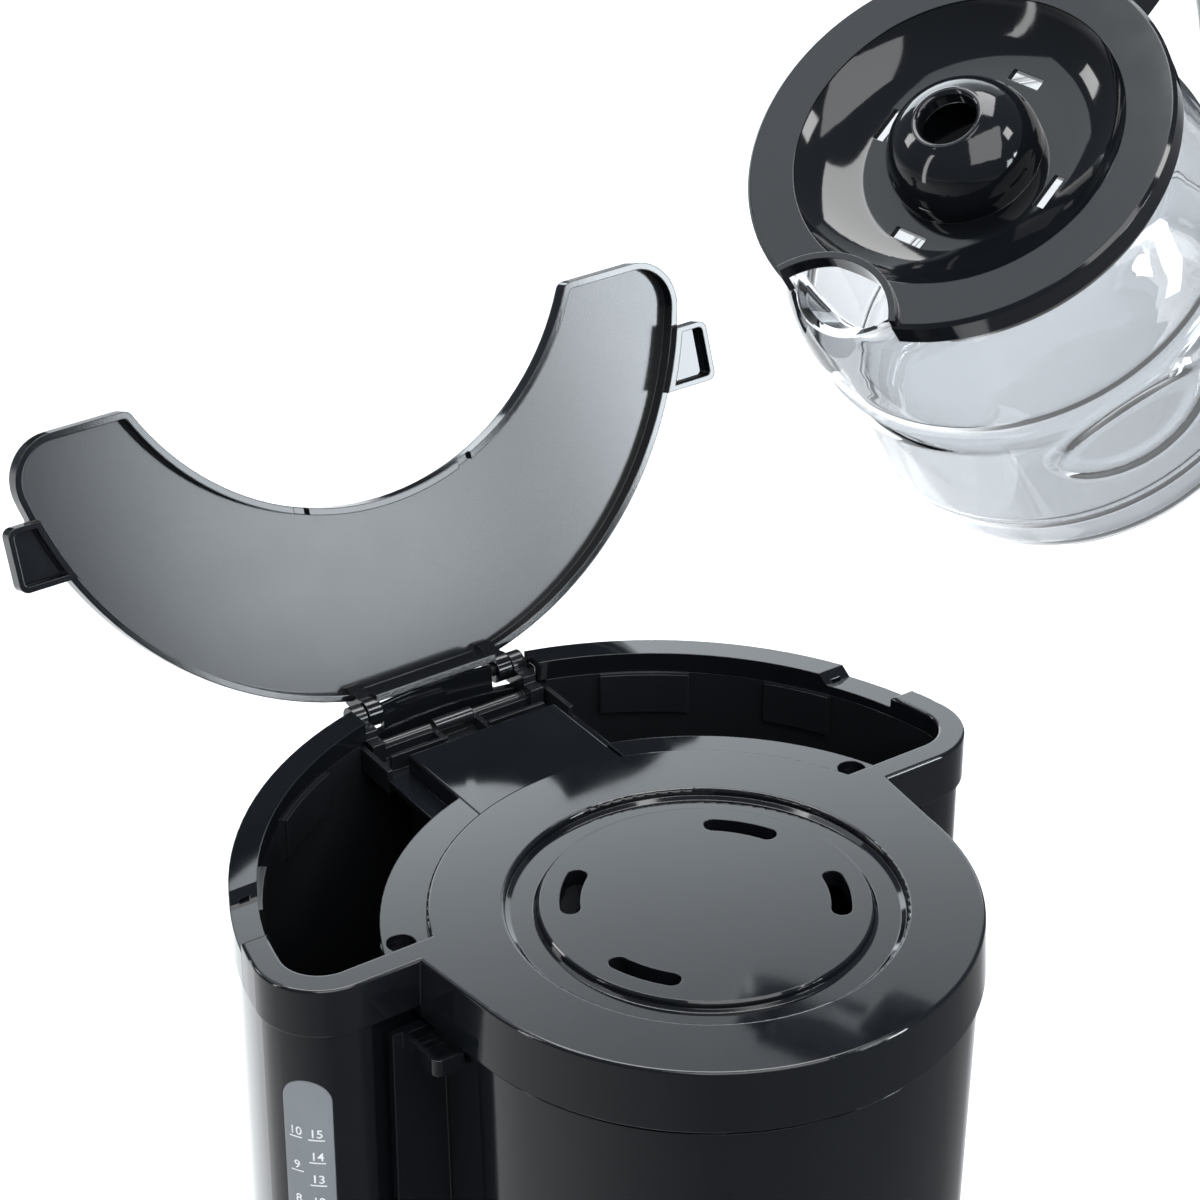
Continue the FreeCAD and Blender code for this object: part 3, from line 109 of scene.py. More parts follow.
def calc(tree, operation, first, second):
    """Math node; each term is a socket or a number."""
    node = tree.nodes.new("ShaderNodeMath")
    node.operation = operation
    for socket, term in zip(node.inputs, (first, second)):
        if isinstance(term, (int, float)):
            socket.default_value = term
        else:
            tree.links.new(term, socket)
    return node.outputs[0]


def vector_calc(tree, operation, first, second):
    """Vector math node; the second term is a socket or a fixed vector."""
    node = tree.nodes.new("ShaderNodeVectorMath")
    node.operation = operation
    tree.links.new(first, node.inputs[0])
    if isinstance(second, Vector):
        node.inputs[1].default_value = second
    else:
        tree.links.new(second, node.inputs[1])
    return node.outputs["Value" if operation == "DOT_PRODUCT" else "Vector"]


def split_xyz(tree, vector):
    node = tree.nodes.new("ShaderNodeSeparateXYZ")
    tree.links.new(vector, node.inputs[0])
    return node.outputs


def mix(tree, factor, first, second):
    """Colour mix; each colour is a socket or a tuple."""
    node = tree.nodes.new("ShaderNodeMix")
    node.data_type = "RGBA"
    tree.links.new(factor, node.inputs["Factor"])
    for key, colour in (("A", first), ("B", second)):
        socket = [i for i in node.inputs if i.name == key and i.type == "RGBA"][0]
        if isinstance(colour, tuple):
            socket.default_value = (*colour, 1)
        else:
            tree.links.new(colour, socket)
    return [o for o in node.outputs if o.type == "RGBA"][0]


def bump(tree, height, strength, distance, normal=None):
    node = tree.nodes.new("ShaderNodeBump")
    node.inputs["Strength"].default_value = strength
    node.inputs["Distance"].default_value = distance
    tree.links.new(height, node.inputs["Height"])
    if normal is not None:
        tree.links.new(normal, node.inputs["Normal"])
    return node.outputs[0]


def soft_edges(tree, radius):
    """Normal that rounds the sharp edges by the radius, in metres."""
    node = tree.nodes.new("ShaderNodeBevel")
    node.samples = BEVEL_SAMPLES
    node.inputs["Radius"].default_value = radius
    return node.outputs[0]


def edge_mask(tree, rounded, amount):
    """Rises where the rounded normal leaves the flat one, so only along edges."""
    flat = tree.nodes.new("ShaderNodeNewGeometry").outputs["Normal"]
    agreement = vector_calc(tree, "DOT_PRODUCT", rounded, flat)
    return map_range(tree, agreement, EDGE_STARTS, EDGE_FULL, 0.0, amount)


# ---------------------------------------------------------------- materials
# Radii and depths in metres. Tones are (dark, light) pairs, and a plastic's rough is a (low, high) pair.
PLASTIC_EDGE, METAL_EDGE, RUBBER_EDGE = 0.0004, 0.0002, 0.0003
GRAIN_DEPTH = 0.00005
LINE_DEPTH = 0.0001
SKIN_DEPTH = 0.0001
WAVE_DEPTH = 0.002
RUB_GAIN, RUB_LIFT = 3.0, 0.01


def plastic(name, tones, rough, grain, wear=0.5):
    """Moulded plastic: uneven colour, fine grain, faint wipe marks and lighter rubbed edges."""
    material, tree, shader = new_material(name)
    vector = coords(tree)
    broad = noise(tree, vector, scale=14.0, detail=3.0)
    fine = noise(tree, vector, scale=900.0, detail=2.0)
    wipe = noise(tree, vector, scale=70.0, detail=6.0, rough=0.7)
    base = two_tone(tree, broad, *tones)
    rounded = soft_edges(tree, PLASTIC_EDGE)
    rubbed = calc(tree, "MULTIPLY", edge_mask(tree, rounded, wear), wipe)
    base = mix(tree, rubbed, base, tuple(channel * RUB_GAIN + RUB_LIFT for channel in tones[1]))
    tree.links.new(base, shader.inputs["Base Color"])
    tree.links.new(map_range(tree, wipe, 0.35, 0.7, *rough), shader.inputs["Roughness"])
    tree.links.new(bump(tree, fine, grain, GRAIN_DEPTH, rounded), shader.inputs["Normal"])
    return material


def metal(name, colour, rough, stretch):
    """Drawn or turned metal: lines along the stretched axis and a slightly clouded colour."""
    material, tree, shader = new_material(name)
    vector = coords(tree)
    stretched = tree.nodes.new("ShaderNodeMapping")
    stretched.inputs["Scale"].default_value = stretch
    tree.links.new(vector, stretched.inputs["Vector"])
    lines = noise(tree, stretched.outputs[0], scale=60.0, detail=6.0, rough=0.7)
    spots = noise(tree, vector, scale=120.0, detail=4.0)
    dull = tuple(channel * 0.8 for channel in colour)
    tree.links.new(two_tone(tree, spots, dull, colour), shader.inputs["Base Color"])
    shader.inputs["Metallic"].default_value = 1.0
    roughness = map_range(tree, lines, 0.3, 0.7, rough * 0.7, rough * 1.3)
    tree.links.new(roughness, shader.inputs["Roughness"])
    normal = bump(tree, lines, 0.25, LINE_DEPTH, soft_edges(tree, METAL_EDGE))
    tree.links.new(normal, shader.inputs["Normal"])
    return material


def soft_rubber(name, tones, rough):
    """Matt rubber or silicone with a fine skin."""
    material, tree, shader = new_material(name)
    vector = coords(tree)
    clouds = noise(tree, vector, scale=45.0, detail=5.0)
    tree.links.new(two_tone(tree, clouds, *tones), shader.inputs["Base Color"])
    fine = noise(tree, vector, scale=1500.0, detail=3.0)
    roughness = map_range(tree, fine, 0.3, 0.7, rough - 0.08, rough + 0.1)
    tree.links.new(roughness, shader.inputs["Roughness"])
    normal = bump(tree, fine, 0.5, SKIN_DEPTH, soft_edges(tree, RUBBER_EDGE))
    tree.links.new(normal, shader.inputs["Normal"])
    return material


def clear_glass(name):
    """Blown glass: smeared here and there, with a slow wave in its surface."""
    material, tree, shader = new_material(name)
    vector = coords(tree)
    shader.inputs["Base Color"].default_value = (0.66, 0.675, 0.69, 1)
    shader.inputs["Transmission Weight"].default_value = 1.0
    shader.inputs["IOR"].default_value = 1.47
    smear = noise(tree, vector, scale=25.0, detail=5.0)
    tree.links.new(map_range(tree, smear, 0.45, 0.8, 0.0, 0.03), shader.inputs["Roughness"])
    wave = noise(tree, vector, scale=30.0, detail=1.0)
    tree.links.new(bump(tree, wave, 0.06, WAVE_DEPTH), shader.inputs["Normal"])
    return material


def ink(name):
    """Screen-printed white with slightly broken cover."""
    material, tree, shader = new_material(name)
    vector = coords(tree)
    cover = noise(tree, vector, scale=900.0, detail=4.0)
    colour = two_tone(tree, cover, (0.62, 0.64, 0.66), (0.86, 0.88, 0.90), low=0.25, high=0.6)
    tree.links.new(colour, shader.inputs["Base Color"])
    roughness = map_range(tree, noise(tree, vector, scale=500.0), 0.3, 0.7, 0.35, 0.5)
    tree.links.new(roughness, shader.inputs["Roughness"])
    return material


GLOSS_TONES = ((0.0045, 0.0055, 0.0072), (0.0062, 0.0074, 0.0094))
GLOSS_ROUGH = (0.055, 0.085)
SATIN_TONES = ((0.007, 0.008, 0.010), (0.010, 0.0115, 0.014))
INNER_TONES = ((0.0085, 0.0095, 0.0115), (0.0120, 0.0135, 0.0160))
COAT_TONES = ((0.012, 0.012, 0.013), (0.022, 0.022, 0.024))
SMOKE_TONES = ((0.20, 0.22, 0.235), (0.24, 0.26, 0.275))
LENS_TONES = ((0.30, 0.008, 0.006), (0.40, 0.012, 0.01))
SILICONE_TONES = ((0.42, 0.42, 0.40), (0.55, 0.55, 0.53))
FOOT_TONES = ((0.012, 0.012, 0.012), (0.025, 0.025, 0.025))
SLEEVE_TONES = ((0.6, 0.58, 0.52), (0.72, 0.7, 0.64))

BLACK = plastic("gloss_black", GLOSS_TONES, GLOSS_ROUGH, grain=0.02)
SATIN = plastic("satin_black", SATIN_TONES, (0.26, 0.36), grain=0.12)
INNER = plastic("tank_black", INNER_TONES, (0.12, 0.20), grain=0.05)
STEEL = metal("plain_steel", (0.62, 0.61, 0.6), 0.22, stretch=(1, 1, 8))
ALU = metal("drawn_aluminium", (0.75, 0.75, 0.76), 0.34, stretch=(1, 1, 6))
SILICONE = soft_rubber("silicone_grey", SILICONE_TONES, 0.5)
RUBBER = soft_rubber("foot_rubber", FOOT_TONES, 0.7)
SLEEVE = soft_rubber("fuse_sleeve", SLEEVE_TONES, 0.85)
ENAMEL = plastic("plate_coat", COAT_TONES, (0.30, 0.45), grain=0.5)
WINDOW = plastic("smoke_window", SMOKE_TONES, (0.10, 0.2), grain=0.05, wear=0.1)
LENS = plastic("red_lens", LENS_TONES, (0.08, 0.14), grain=0.02, wear=0.1)
GLASS = clear_glass("carafe_clear")

# The tank lid rests open. Its flat inner face lies between two heights when the lid is shut.
LID_OPEN = math.radians(109.8)
HINGE_Y, HINGE_Z = 0.1332, 0.3059
INNER_FACE_LOW, INNER_FACE_HIGH = 0.3139, 0.3147
INNER_FACE_COLOUR = (0.012, 0.0135, 0.016)
INNER_FACE_ROUGH = (0.160, 0.180)


def on_inner_face(tree, vector):
    """1 on the lid's flat inner face and 0 elsewhere, from the height that the point has when shut."""
    axes = split_xyz(tree, vector)
    back = calc(tree, "SUBTRACT", axes["Y"], HINGE_Y)
    above = calc(tree, "SUBTRACT", axes["Z"], HINGE_Z)
    turned = calc(tree, "ADD", calc(tree, "MULTIPLY", back, math.sin(LID_OPEN)),
                  calc(tree, "MULTIPLY", above, math.cos(LID_OPEN)))
    height = calc(tree, "ADD", turned, HINGE_Z)
    return calc(tree, "MULTIPLY", calc(tree, "GREATER_THAN", height, INNER_FACE_LOW),
                calc(tree, "LESS_THAN", height, INNER_FACE_HIGH))


def lid_material():
    """Gloss black outside; the flat inner face has a fine spark-eroded satin."""
    material, tree, shader = new_material("tank_lid_black")
    vector = coords(tree)
    broad = noise(tree, vector, scale=14.0, detail=3.0)
    fine = noise(tree, vector, scale=1400.0, detail=3.0)
    wipe = noise(tree, vector, scale=60.0, detail=6.0, rough=0.7)
    inside = on_inner_face(tree, vector)
    base = mix(tree, inside, two_tone(tree, broad, *GLOSS_TONES), INNER_FACE_COLOUR)
    tree.links.new(base, shader.inputs["Base Color"])
    roughness = tree.nodes.new("ShaderNodeMix")
    tree.links.new(inside, roughness.inputs[0])
    tree.links.new(map_range(tree, wipe, 0.35, 0.7, *GLOSS_ROUGH), roughness.inputs[2])
    tree.links.new(map_range(tree, wipe, 0.3, 0.75, *INNER_FACE_ROUGH), roughness.inputs[3])
    tree.links.new(roughness.outputs[0], shader.inputs["Roughness"])
    normal = bump(tree, fine, 0.1, GRAIN_DEPTH, soft_edges(tree, PLASTIC_EDGE))
    tree.links.new(normal, shader.inputs["Normal"])
    return material


LID = lid_material()

SLOTS = {
    "black_gloss": BLACK, "black_satin": SATIN, "smoke_window": WINDOW, "steel": STEEL,
    "silicone": SILICONE, "rubber": RUBBER, "enamel": ENAMEL, "aluminium": ALU,
    "sleeve": SLEEVE, "glass": GLASS, "red_lens": LENS,
}
NODE_MATERIAL = {"tank_lid": LID, "water_tank": INNER, "hinge_bracket": INNER, "channel_cover": BLACK}

for part in frame["record"]["subparts"]:
    node = frame["nodes"][part["node"]]
    material = NODE_MATERIAL.get(part["node"], SLOTS[part["material_slot"]])
    node.data.materials.clear()
    node.data.materials.append(material)


# ---------------------------------------------------------------- mesh helpers
def mesh_object(name, bm, material):
    """Turns a bmesh into an object of one material, and frees it."""
    me = bpy.data.meshes.new(name)
    bm.to_mesh(me)
    bm.free()
    ob = bpy.data.objects.new(name, me)
    scene.collection.objects.link(ob)
    me.materials.append(material)
    return ob


def skin(bm, rows):
    """Joins closed rows of vertices with quads, caps both ends and smooths the result."""
    for near, far in zip(rows, rows[1:]):
        for i in range(len(near)):
            j = (i + 1) % len(near)
            bm.faces.new((near[i], near[j], far[j], far[i]))
    bm.faces.new(rows[0][::-1])
    bm.faces.new(rows[-1])
    bmesh.ops.recalc_face_normals(bm, faces=bm.faces[:])
    for face in bm.faces:
        face.smooth = True


# ---------------------------------------------------------------- level scale on the window
# Millimetres. The window is a piece of a cylinder about a vertical line through CORNER.
CORNER = Vector((-93.68, 37.40, 0.0))
WINDOW_R = 16.95
PRINT_LIFT = 0.06
SCALE_TOP = 261.6
LINE_THICK = 0.42
NUMBER_HIGH = 2.6
NUMBER_GAP = 1.05
LINE_STEPS = 8
CAP_SHARE = 0.70
STROKE_EXTRA = 0.05
CURVE_STEPS = 4
# Each scale: highest number, lowest number, heading in degrees, step, line length, top line's offset.
SCALES = {"small": (15, 2, -130.2, 7.45, 4.4, 0.0), "large": (10, 2, -149.2, 11.15, 3.6, 0.3)}


def on_window(heading, z, lift):
    angle = math.radians(heading)
    r = WINDOW_R + lift
    return Vector((CORNER.x + r * math.cos(angle), CORNER.y + r * math.sin(angle), z)) * MM


def degrees_for(width):
    return math.degrees(width / WINDOW_R)


def wrapped(name, bm, heading, z):
    """bm is flat, in millimetres with x to the right and y up; it is laid on the curved window."""
    for v in bm.verts:
        v.co = on_window(heading + degrees_for(v.co.x), z + v.co.y, PRINT_LIFT + v.co.z)
    ob = mesh_object(name, bm, INK)
    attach(ob, "machine")


def numeral(word, height):
    """Thin flat mesh of a number, centred on x = 0, standing on y = 0."""
    curve = bpy.data.curves.new("number_" + word, "FONT")
    curve.body = word
    curve.size = height / CAP_SHARE
    curve.align_x = "CENTER"
    curve.resolution_u = CURVE_STEPS
    curve.offset = STROKE_EXTRA
    source = bpy.data.objects.new("number_tmp", curve)
    scene.collection.objects.link(source)
    bpy.context.view_layer.update()
    me = bpy.data.meshes.new_from_object(source)
    bm = bmesh.new()
    bm.from_mesh(me)
    bpy.data.objects.remove(source)
    bpy.data.meshes.remove(me)
    bmesh.ops.triangulate(bm, faces=bm.faces[:])
    return bm


def bar(width, thick):
    """Flat strip, cut into short steps so that it follows the curved window."""
    bm = bmesh.new()
    places = [width * (i / LINE_STEPS - 0.5) for i in range(LINE_STEPS + 1)]
    low = [bm.verts.new((x, 0, 0)) for x in places]
    high = [bm.verts.new((x, thick, 0)) for x in places]
    for i in range(LINE_STEPS):
        bm.faces.new((low[i], low[i + 1], high[i + 1], high[i]))
    return bm


def level_scale(size):
    most, least, heading, step, width, offset = SCALES[size]
    for cups in range(most, least - 1, -1):
        z = SCALE_TOP + offset - (most - cups) * step
        wrapped("cups_%s_line_%02d" % (size, cups), bar(width, LINE_THICK), heading, z)
        wrapped("cups_%s_%02d" % (size, cups), numeral(str(cups), NUMBER_HIGH), heading, z + NUMBER_GAP)


INK = ink("scale_ink")
level_scale("small")
level_scale("large")

# ---------------------------------------------------------------- blown glass of the carafe
# Millimetres in the carafe's own frame: z up its axis, x towards the pouring spout.
CARAFE_HIGH = 120.4
CARAFE_RIM = Vector((127.9, 67.2, 469.0))
CARAFE_HEADING, CARAFE_TIP, CARAFE_TWIST = (math.radians(d) for d in (-164.8, 35.6, -4.5))
CARAFE_TURN = (Matrix.Rotation(CARAFE_HEADING, 3, "Z") @ Matrix.Rotation(CARAFE_TIP, 3, "Y")
               @ Matrix.Rotation(CARAFE_TWIST, 3, "Z"))
WALL = 2.4
AROUND = 256
BODY_R = 63.5
PROFILE_STEPS = 4
# Outside of the glass as (radius, height): foot, two ring lines, body, ring line, shoulder, neck.
OUTER = [
    (0, 1.9), (30, 1.8), (46, 1.2), (52, 0.3), (55.0, 0.1), (57.6, 0.9), (59.4, 2.6), (60.5, 5.0),
    (61.0, 8.0), (61.5, 13.0), (62.1, 17.0), (62.6, 18.8), (63.3, 19.8), (63.5, 20.9), (63.2, 21.8),
    (63.2, 22.6), (63.5, 23.6), (63.5, 28), (63.5, 33), (63.5, 38), (63.5, 43), (63.5, 48), (63.5, 53),
    (63.5, 58), (63.45, 61.0), (63.0, 63.2), (62.3, 65.0), (62.0, 67.0), (62.1, 69.0), (62.6, 71.0),
    (63.2, 73.0), (63.3, 75.5), (63.1, 79), (62.7, 83), (62.0, 87), (61.0, 91), (59.9, 95),
    (58.8, 98.6), (57.8, 101.6), (57.1, 104.0), (56.7, 106.5), (56.6, 109.5), (56.6, 113), (56.5, 116.4),
]
LIP = [(56.2, 117.2), (55.3, 117.4), (54.5, 117.1)]
LIP_INSET = 0.9
INNER_TOP = 116.6
AXIS_GAP, INNER_AXIS_GAP = 0.5, 0.3
# The pouring spout is a cone that starts at SPOUT_LOW and leans outwards as it widens.
SPOUT_LOW, SPOUT_HIGH = 86.0, 34.0
SPOUT_CENTRE, SPOUT_LEAN = 38.0, 0.28
SPOUT_R, SPOUT_FLARE = 5.0, 15.0
SPOUT_BLEND = 2.4
# The oval dimple: its place, half width and half height, and its ring and sunk middle.
DIMPLE_DEG, DIMPLE_Z, DIMPLE_WIDE, DIMPLE_TALL = 65.0, 50.0, 27.0, 14.5
DIMPLE_LOW, DIMPLE_TOP, DIMPLE_REACH = 28, 72, 1.4
RING_HIGH, RING_AT, RING_SOFT = 1.0, 0.88, 0.11
SUNK_DEEP, SUNK_AT, SUNK_SOFT = 0.9, 0.74, 0.05


def from_carafe(x, y, z):
    return (CARAFE_RIM + CARAFE_TURN @ Vector((x, y, z - CARAFE_HIGH))) * MM


def smooth_profile(points):
    """Catmull-Rom curve through the points."""
    curve = []
    padded = [points[0]] + points + [points[-1]]
    for i in range(1, len(padded) - 2):
        for k in range(PROFILE_STEPS):
            t = k / PROFILE_STEPS
            place = []
            for axis in range(2):
                a, b, d, e = (padded[i + step][axis] for step in (-1, 0, 1, 2))
                place.append(0.5 * (2 * b + (d - a) * t + (2 * a - 5 * b + 4 * d - e) * t * t
                                    + (3 * b - a - 3 * d + e) * t ** 3))
            curve.append((max(place[0], 0.0), place[1]))
    curve.append(points[-1])
    return curve


def spout_radius(z, angle, inset):
    """Distance of the pouring spout's cone from the carafe's axis, or 0 where it isn't reached."""
    height = z - SPOUT_LOW
    if height <= 0 or math.cos(angle) <= 0:
        return 0.0
    centre = SPOUT_CENTRE + SPOUT_LEAN * height
    radius = SPOUT_R + SPOUT_FLARE * height / SPOUT_HIGH - inset
    side = centre * math.sin(angle)
    if abs(side) >= radius:
        return 0.0
    return centre * math.cos(angle) + math.sqrt(radius * radius - side * side)


def blend_max(a, b, reach):
    """The larger of two values, rounded over where they are within reach of each other."""
    near = max(reach - abs(a - b), 0.0) / reach
    return max(a, b) + near * near * reach * 0.25


def dimple(angle, z):
    """Raised oval ring with a slightly sunk middle."""
    off = (math.degrees(angle) - DIMPLE_DEG + 180) % 360 - 180
    along = math.radians(off) * BODY_R / DIMPLE_WIDE
    up = (z - DIMPLE_Z) / DIMPLE_TALL
    out = math.hypot(along, up)
    if out > DIMPLE_REACH:
        return 0.0
    ring = math.exp(-((out - RING_AT) / RING_SOFT) ** 2)
    sunk = 1.0 / (1.0 + math.exp((out - SUNK_AT) / SUNK_SOFT))
    return RING_HIGH * ring - SUNK_DEEP * sunk


def glass_rows(bm, profile, inset):
    """One closed row of vertices per point of the profile, with the spout and the dimple."""
    rows = []
    for r, z in profile:
        row = []
        for i in range(AROUND):
            angle = 2 * math.pi * i / AROUND
            radius = r
            if z > SPOUT_LOW:
                radius = blend_max(r, spout_radius(z, angle, inset), SPOUT_BLEND)
            if DIMPLE_LOW < z < DIMPLE_TOP:
                radius += dimple(angle, z)
            row.append(bm.verts.new(from_carafe(radius * math.cos(angle), radius * math.sin(angle), z)))
        rows.append(row)
    return rows


def inside_of(outer):
    """The profile moved inwards by the wall, square to itself, up to the lip."""
    inner = []
    for i, (r, z) in enumerate(outer):
        before = outer[max(i - 1, 0)]
        after = outer[min(i + 1, len(outer) - 1)]
        along = Vector((after[0] - before[0], after[1] - before[1]))
        inwards = Vector((-along.y, along.x)).normalized()
        inner.append((max(r + inwards.x * WALL, INNER_AXIS_GAP), z + inwards.y * WALL))
    return [point for point in inner if point[1] < INNER_TOP]


def blown_glass():
    outer = [point for point in smooth_profile(OUTER) if point[0] > AXIS_GAP]
    bm = bmesh.new()
    out_rows = glass_rows(bm, outer, 0.0)
    in_rows = glass_rows(bm, inside_of(outer), WALL)
    lip_rows = glass_rows(bm, LIP, LIP_INSET)
    skin(bm, out_rows + lip_rows + in_rows[::-1])
    ob = mesh_object("carafe_blown_glass", bm, GLASS)
    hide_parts("carafe_glass")
    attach(ob, "carafe")
    ob.visible_shadow = False
    ob.visible_glossy = False


blown_glass()

# ---------------------------------------------------------------- drip stop spring
# Millimetres. The space for the spring is 11.7 high at rest and 7.7 with the valve lifted by 4.
SPRING_LOW, SPRING_TOP = 201.4, 212.9
SPRING_R, WIRE_R, SPRING_TURNS = 5.05, 0.42, 5.5
SPRING_STEPS, WIRE_AROUND = 240, 10
EVEN_SHARE, CLOSED_SHARE = 0.35, 0.65


def coil_spring():
    """Wound wire with its end turns closed."""
    bm = bmesh.new()
    rings = []
    rise = SPRING_TOP - SPRING_LOW - 2 * WIRE_R
    for i in range(SPRING_STEPS + 1):
        t = i / SPRING_STEPS
        turn = 2 * math.pi * SPRING_TURNS * t
        ease = t * t * (3 - 2 * t)
        z = SPRING_LOW + WIRE_R + rise * (EVEN_SHARE * t + CLOSED_SHARE * ease)
        ring = []
        for k in range(WIRE_AROUND):
            angle = 2 * math.pi * k / WIRE_AROUND
            r = SPRING_R + WIRE_R * math.cos(angle)
            place = Vector((r * math.cos(turn), r * math.sin(turn), z + WIRE_R * math.sin(angle)))
            ring.append(bm.verts.new(place * MM))
        rings.append(ring)
    skin(bm, rings)
    ob = mesh_object("drip_stop_coil", bm, STEEL)
    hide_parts("drip_stop_spring")
    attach(ob, "swing_filter")
    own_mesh(ob)


coil_spring()

# ---------------------------------------------------------------- camera
LENS_MM, SENSOR_MM = 107.3, 36.0
CAMERA_PLACE = (-0.4498, -0.6140, 0.8474)
CAMERA_LOOK = Vector((0.4841, 0.7134, -0.5067))
CLIP_NEAR, CLIP_FAR = 0.05, 60.0

cam_data = bpy.data.cameras.new("main_camera")
cam = bpy.data.objects.new("main_camera", cam_data)
scene.collection.objects.link(cam)
cam_data.lens = LENS_MM
cam_data.sensor_width = SENSOR_MM
cam_data.dof.use_dof = False
cam_data.clip_start = CLIP_NEAR
cam_data.clip_end = CLIP_FAR
cam.location = CAMERA_PLACE
cam.rotation_euler = CAMERA_LOOK.normalized().to_track_quat("-Z", "Y").to_euler()
scene.camera = cam

# ---------------------------------------------------------------- floor and sky
FLOOR_HALF, FLOOR_CELLS = 9.0, 8
SKY_COLOUR, SKY_STRENGTH = (0.80, 0.88, 1.0, 1), 0.2


def matt_shader(tree, shader, colour, rough, specular):
    """Colour from a socket, on a dull surface for the studio round the object."""
    tree.links.new(colour, shader.inputs["Base Color"])
    shader.inputs["Roughness"].default_value = rough
    shader.inputs["Specular IOR Level"].default_value = specular


def floor_material():
    material, tree, shader = new_material("pale_floor")
    clouds = noise(tree, coords(tree), scale=3.0, detail=4.0)
    colour = two_tone(tree, clouds, (0.90, 0.905, 0.91), (0.93, 0.935, 0.94))
    matt_shader(tree, shader, colour, rough=0.9, specular=0.1)
    return material


bm = bmesh.new()
bmesh.ops.create_grid(bm, x_segments=FLOOR_CELLS, y_segments=FLOOR_CELLS, size=FLOOR_HALF)
floor = mesh_object("floor", bm, floor_material())

world = bpy.data.worlds.new("studio")
scene.world = world
world.use_nodes = True
sky = world.node_tree.nodes["Background"]
sky.inputs["Color"].default_value = SKY_COLOUR
sky.inputs["Strength"].default_value = SKY_STRENGTH

# ---------------------------------------------------------------- soft boxes
WHITE = (1, 1, 1)
COOL = (0.88, 0.95, 1.0)
LID_FACE = (0, 0.16, 0.36)
COVER = (0, 0, 0.3)


def area(name, place, aim, size, radiance, colour=WHITE):
    """Soft box of size (width, height) in metres, facing aim; radiance is what a mirror would see."""
    width, height = size
    light = bpy.data.lights.new(name, "AREA")
    light.shape = "RECTANGLE"
    light.size = width
    light.size_y = height
    light.energy = radiance * math.pi * width * height
    light.color = colour
    ob = bpy.data.objects.new(name, light)
    scene.collection.objects.link(ob)
    ob.location = place
    ob.rotation_euler = (Vector(aim) - Vector(place)).to_track_quat("-Z", "Y").to_euler()


area("overhead", (0.55, 0.85, 2.7), (0.5, 0.8, 0), (1.7, 1.5), 7.5)
area("upper_left", (-0.90, 1.25, 2.35), (0.13, 0.07, 0.47), (1.3, 1.3), 1.5, COOL)
area("lid_key", (1.283, -1.624, 0.475), LID_FACE, (0.284, 1.01), 20.0, COOL)
area("lid_fill", (0.919, -1.818, 0.651), LID_FACE, (0.313, 0.395), 11.2, COOL)
area("left_strip", (-1.25, 0.30, 0.45), (0, 0.05, 0.25), (0.12, 1.5), 6.0)
area("front_high", (-0.236, -1.27, 1.88), (0.13, 0.10, 0.47), (1.7, 1.7), 3.4)
area("edge_front", (1.10, -1.15, 1.95), COVER, (0.5, 0.5), 10.0)
area("edge_back", (-1.15, 1.65, 1.25), COVER, (0.4, 0.5), 8.0)


# ---------------------------------------------------------------- sheet, painted dark reflection and painted-shade cards
def stage_plane(name, corners, material):
    """Flat piece of the studio that the camera doesn't see but glossy faces mirror."""
    me = bpy.data.meshes.new(name)
    me.from_pydata(corners, [], [(0, 1, 2, 3)])
    ob = bpy.data.objects.new(name, me)
    scene.collection.objects.link(ob)
    me.materials.append(material)
    ob.visible_camera = False
    return ob


def mirrored_only(ob):
    """Keeps a dark piece from dimming or shading anything."""
    ob.visible_diffuse = False
    ob.visible_shadow = False


def grey(value):
    return (value, value, value)


# HEADING points from the machine to the sheet, and ACROSS points left along it.
HEADING = Vector((0.5615, 0.8275, 0.0))
ACROSS = Vector((-0.8275, 0.5615, 0.0))


def upright(distance, half, low, high):
    """Corners of a standing rectangle at that distance behind the machine."""
    foot = HEADING * distance
    return [foot - ACROSS * half + Vector((0, 0, low)), foot + ACROSS * half + Vector((0, 0, low)),
            foot + ACROSS * half + Vector((0, 0, high)), foot - ACROSS * half + Vector((0, 0, high))]


# Tall sheet of light behind the machine, brightest low down and to the left.
# Heights are above the machine's top. Each pair is a place and the strength there.
SHEET_DIST, SHEET_HALF, SHEET_LOW, SHEET_HIGH = 2.6, 1.6, 0.40, 3.30
SHEET_UP = [(1.55, 3.9), (1.64, 3.7), (1.81, 2.4), (1.93, 1.8), (2.07, 1.35), (2.6, 1.2), (3.3, 1.0)]
SHEET_SIDE = [(-1.6, 0.7), (-0.6, 0.80), (-0.25, 0.88), (0.0, 1.0), (0.15, 1.15), (0.4, 1.3), (1.6, 1.2)]
UP_LIMIT, SIDE_LIMIT = 4, 1.3


def sheet_material():
    """Light whose strength is the product of one curve up the sheet and one across it."""
    material, tree, shader = new_material("light_sheet", "ShaderNodeEmission")
    vector = coords(tree)
    height = split_xyz(tree, vector)["Z"]
    up = map_range(tree, height, TOP + SHEET_LOW, TOP + SHEET_HIGH, 0.0, 1.0)
    span = SHEET_HIGH - SHEET_LOW
    up_stops = [((place - SHEET_LOW) / span, grey(power / UP_LIMIT)) for place, power in SHEET_UP]
    sideways = vector_calc(tree, "DOT_PRODUCT", vector, ACROSS)
    across = map_range(tree, sideways, -SHEET_HALF, SHEET_HALF, 0.0, 1.0)
    side_stops = [((place + SHEET_HALF) / (2 * SHEET_HALF), grey(power / SIDE_LIMIT))
                  for place, power in SHEET_SIDE]
    shape = calc(tree, "MULTIPLY", ramp(tree, up, up_stops), ramp(tree, across, side_stops))
    strength = calc(tree, "MULTIPLY", shape, UP_LIMIT * SIDE_LIMIT)
    tree.links.new(strength, shader.inputs["Strength"])
    shader.inputs["Color"].default_value = (*COOL, 1)
    return material


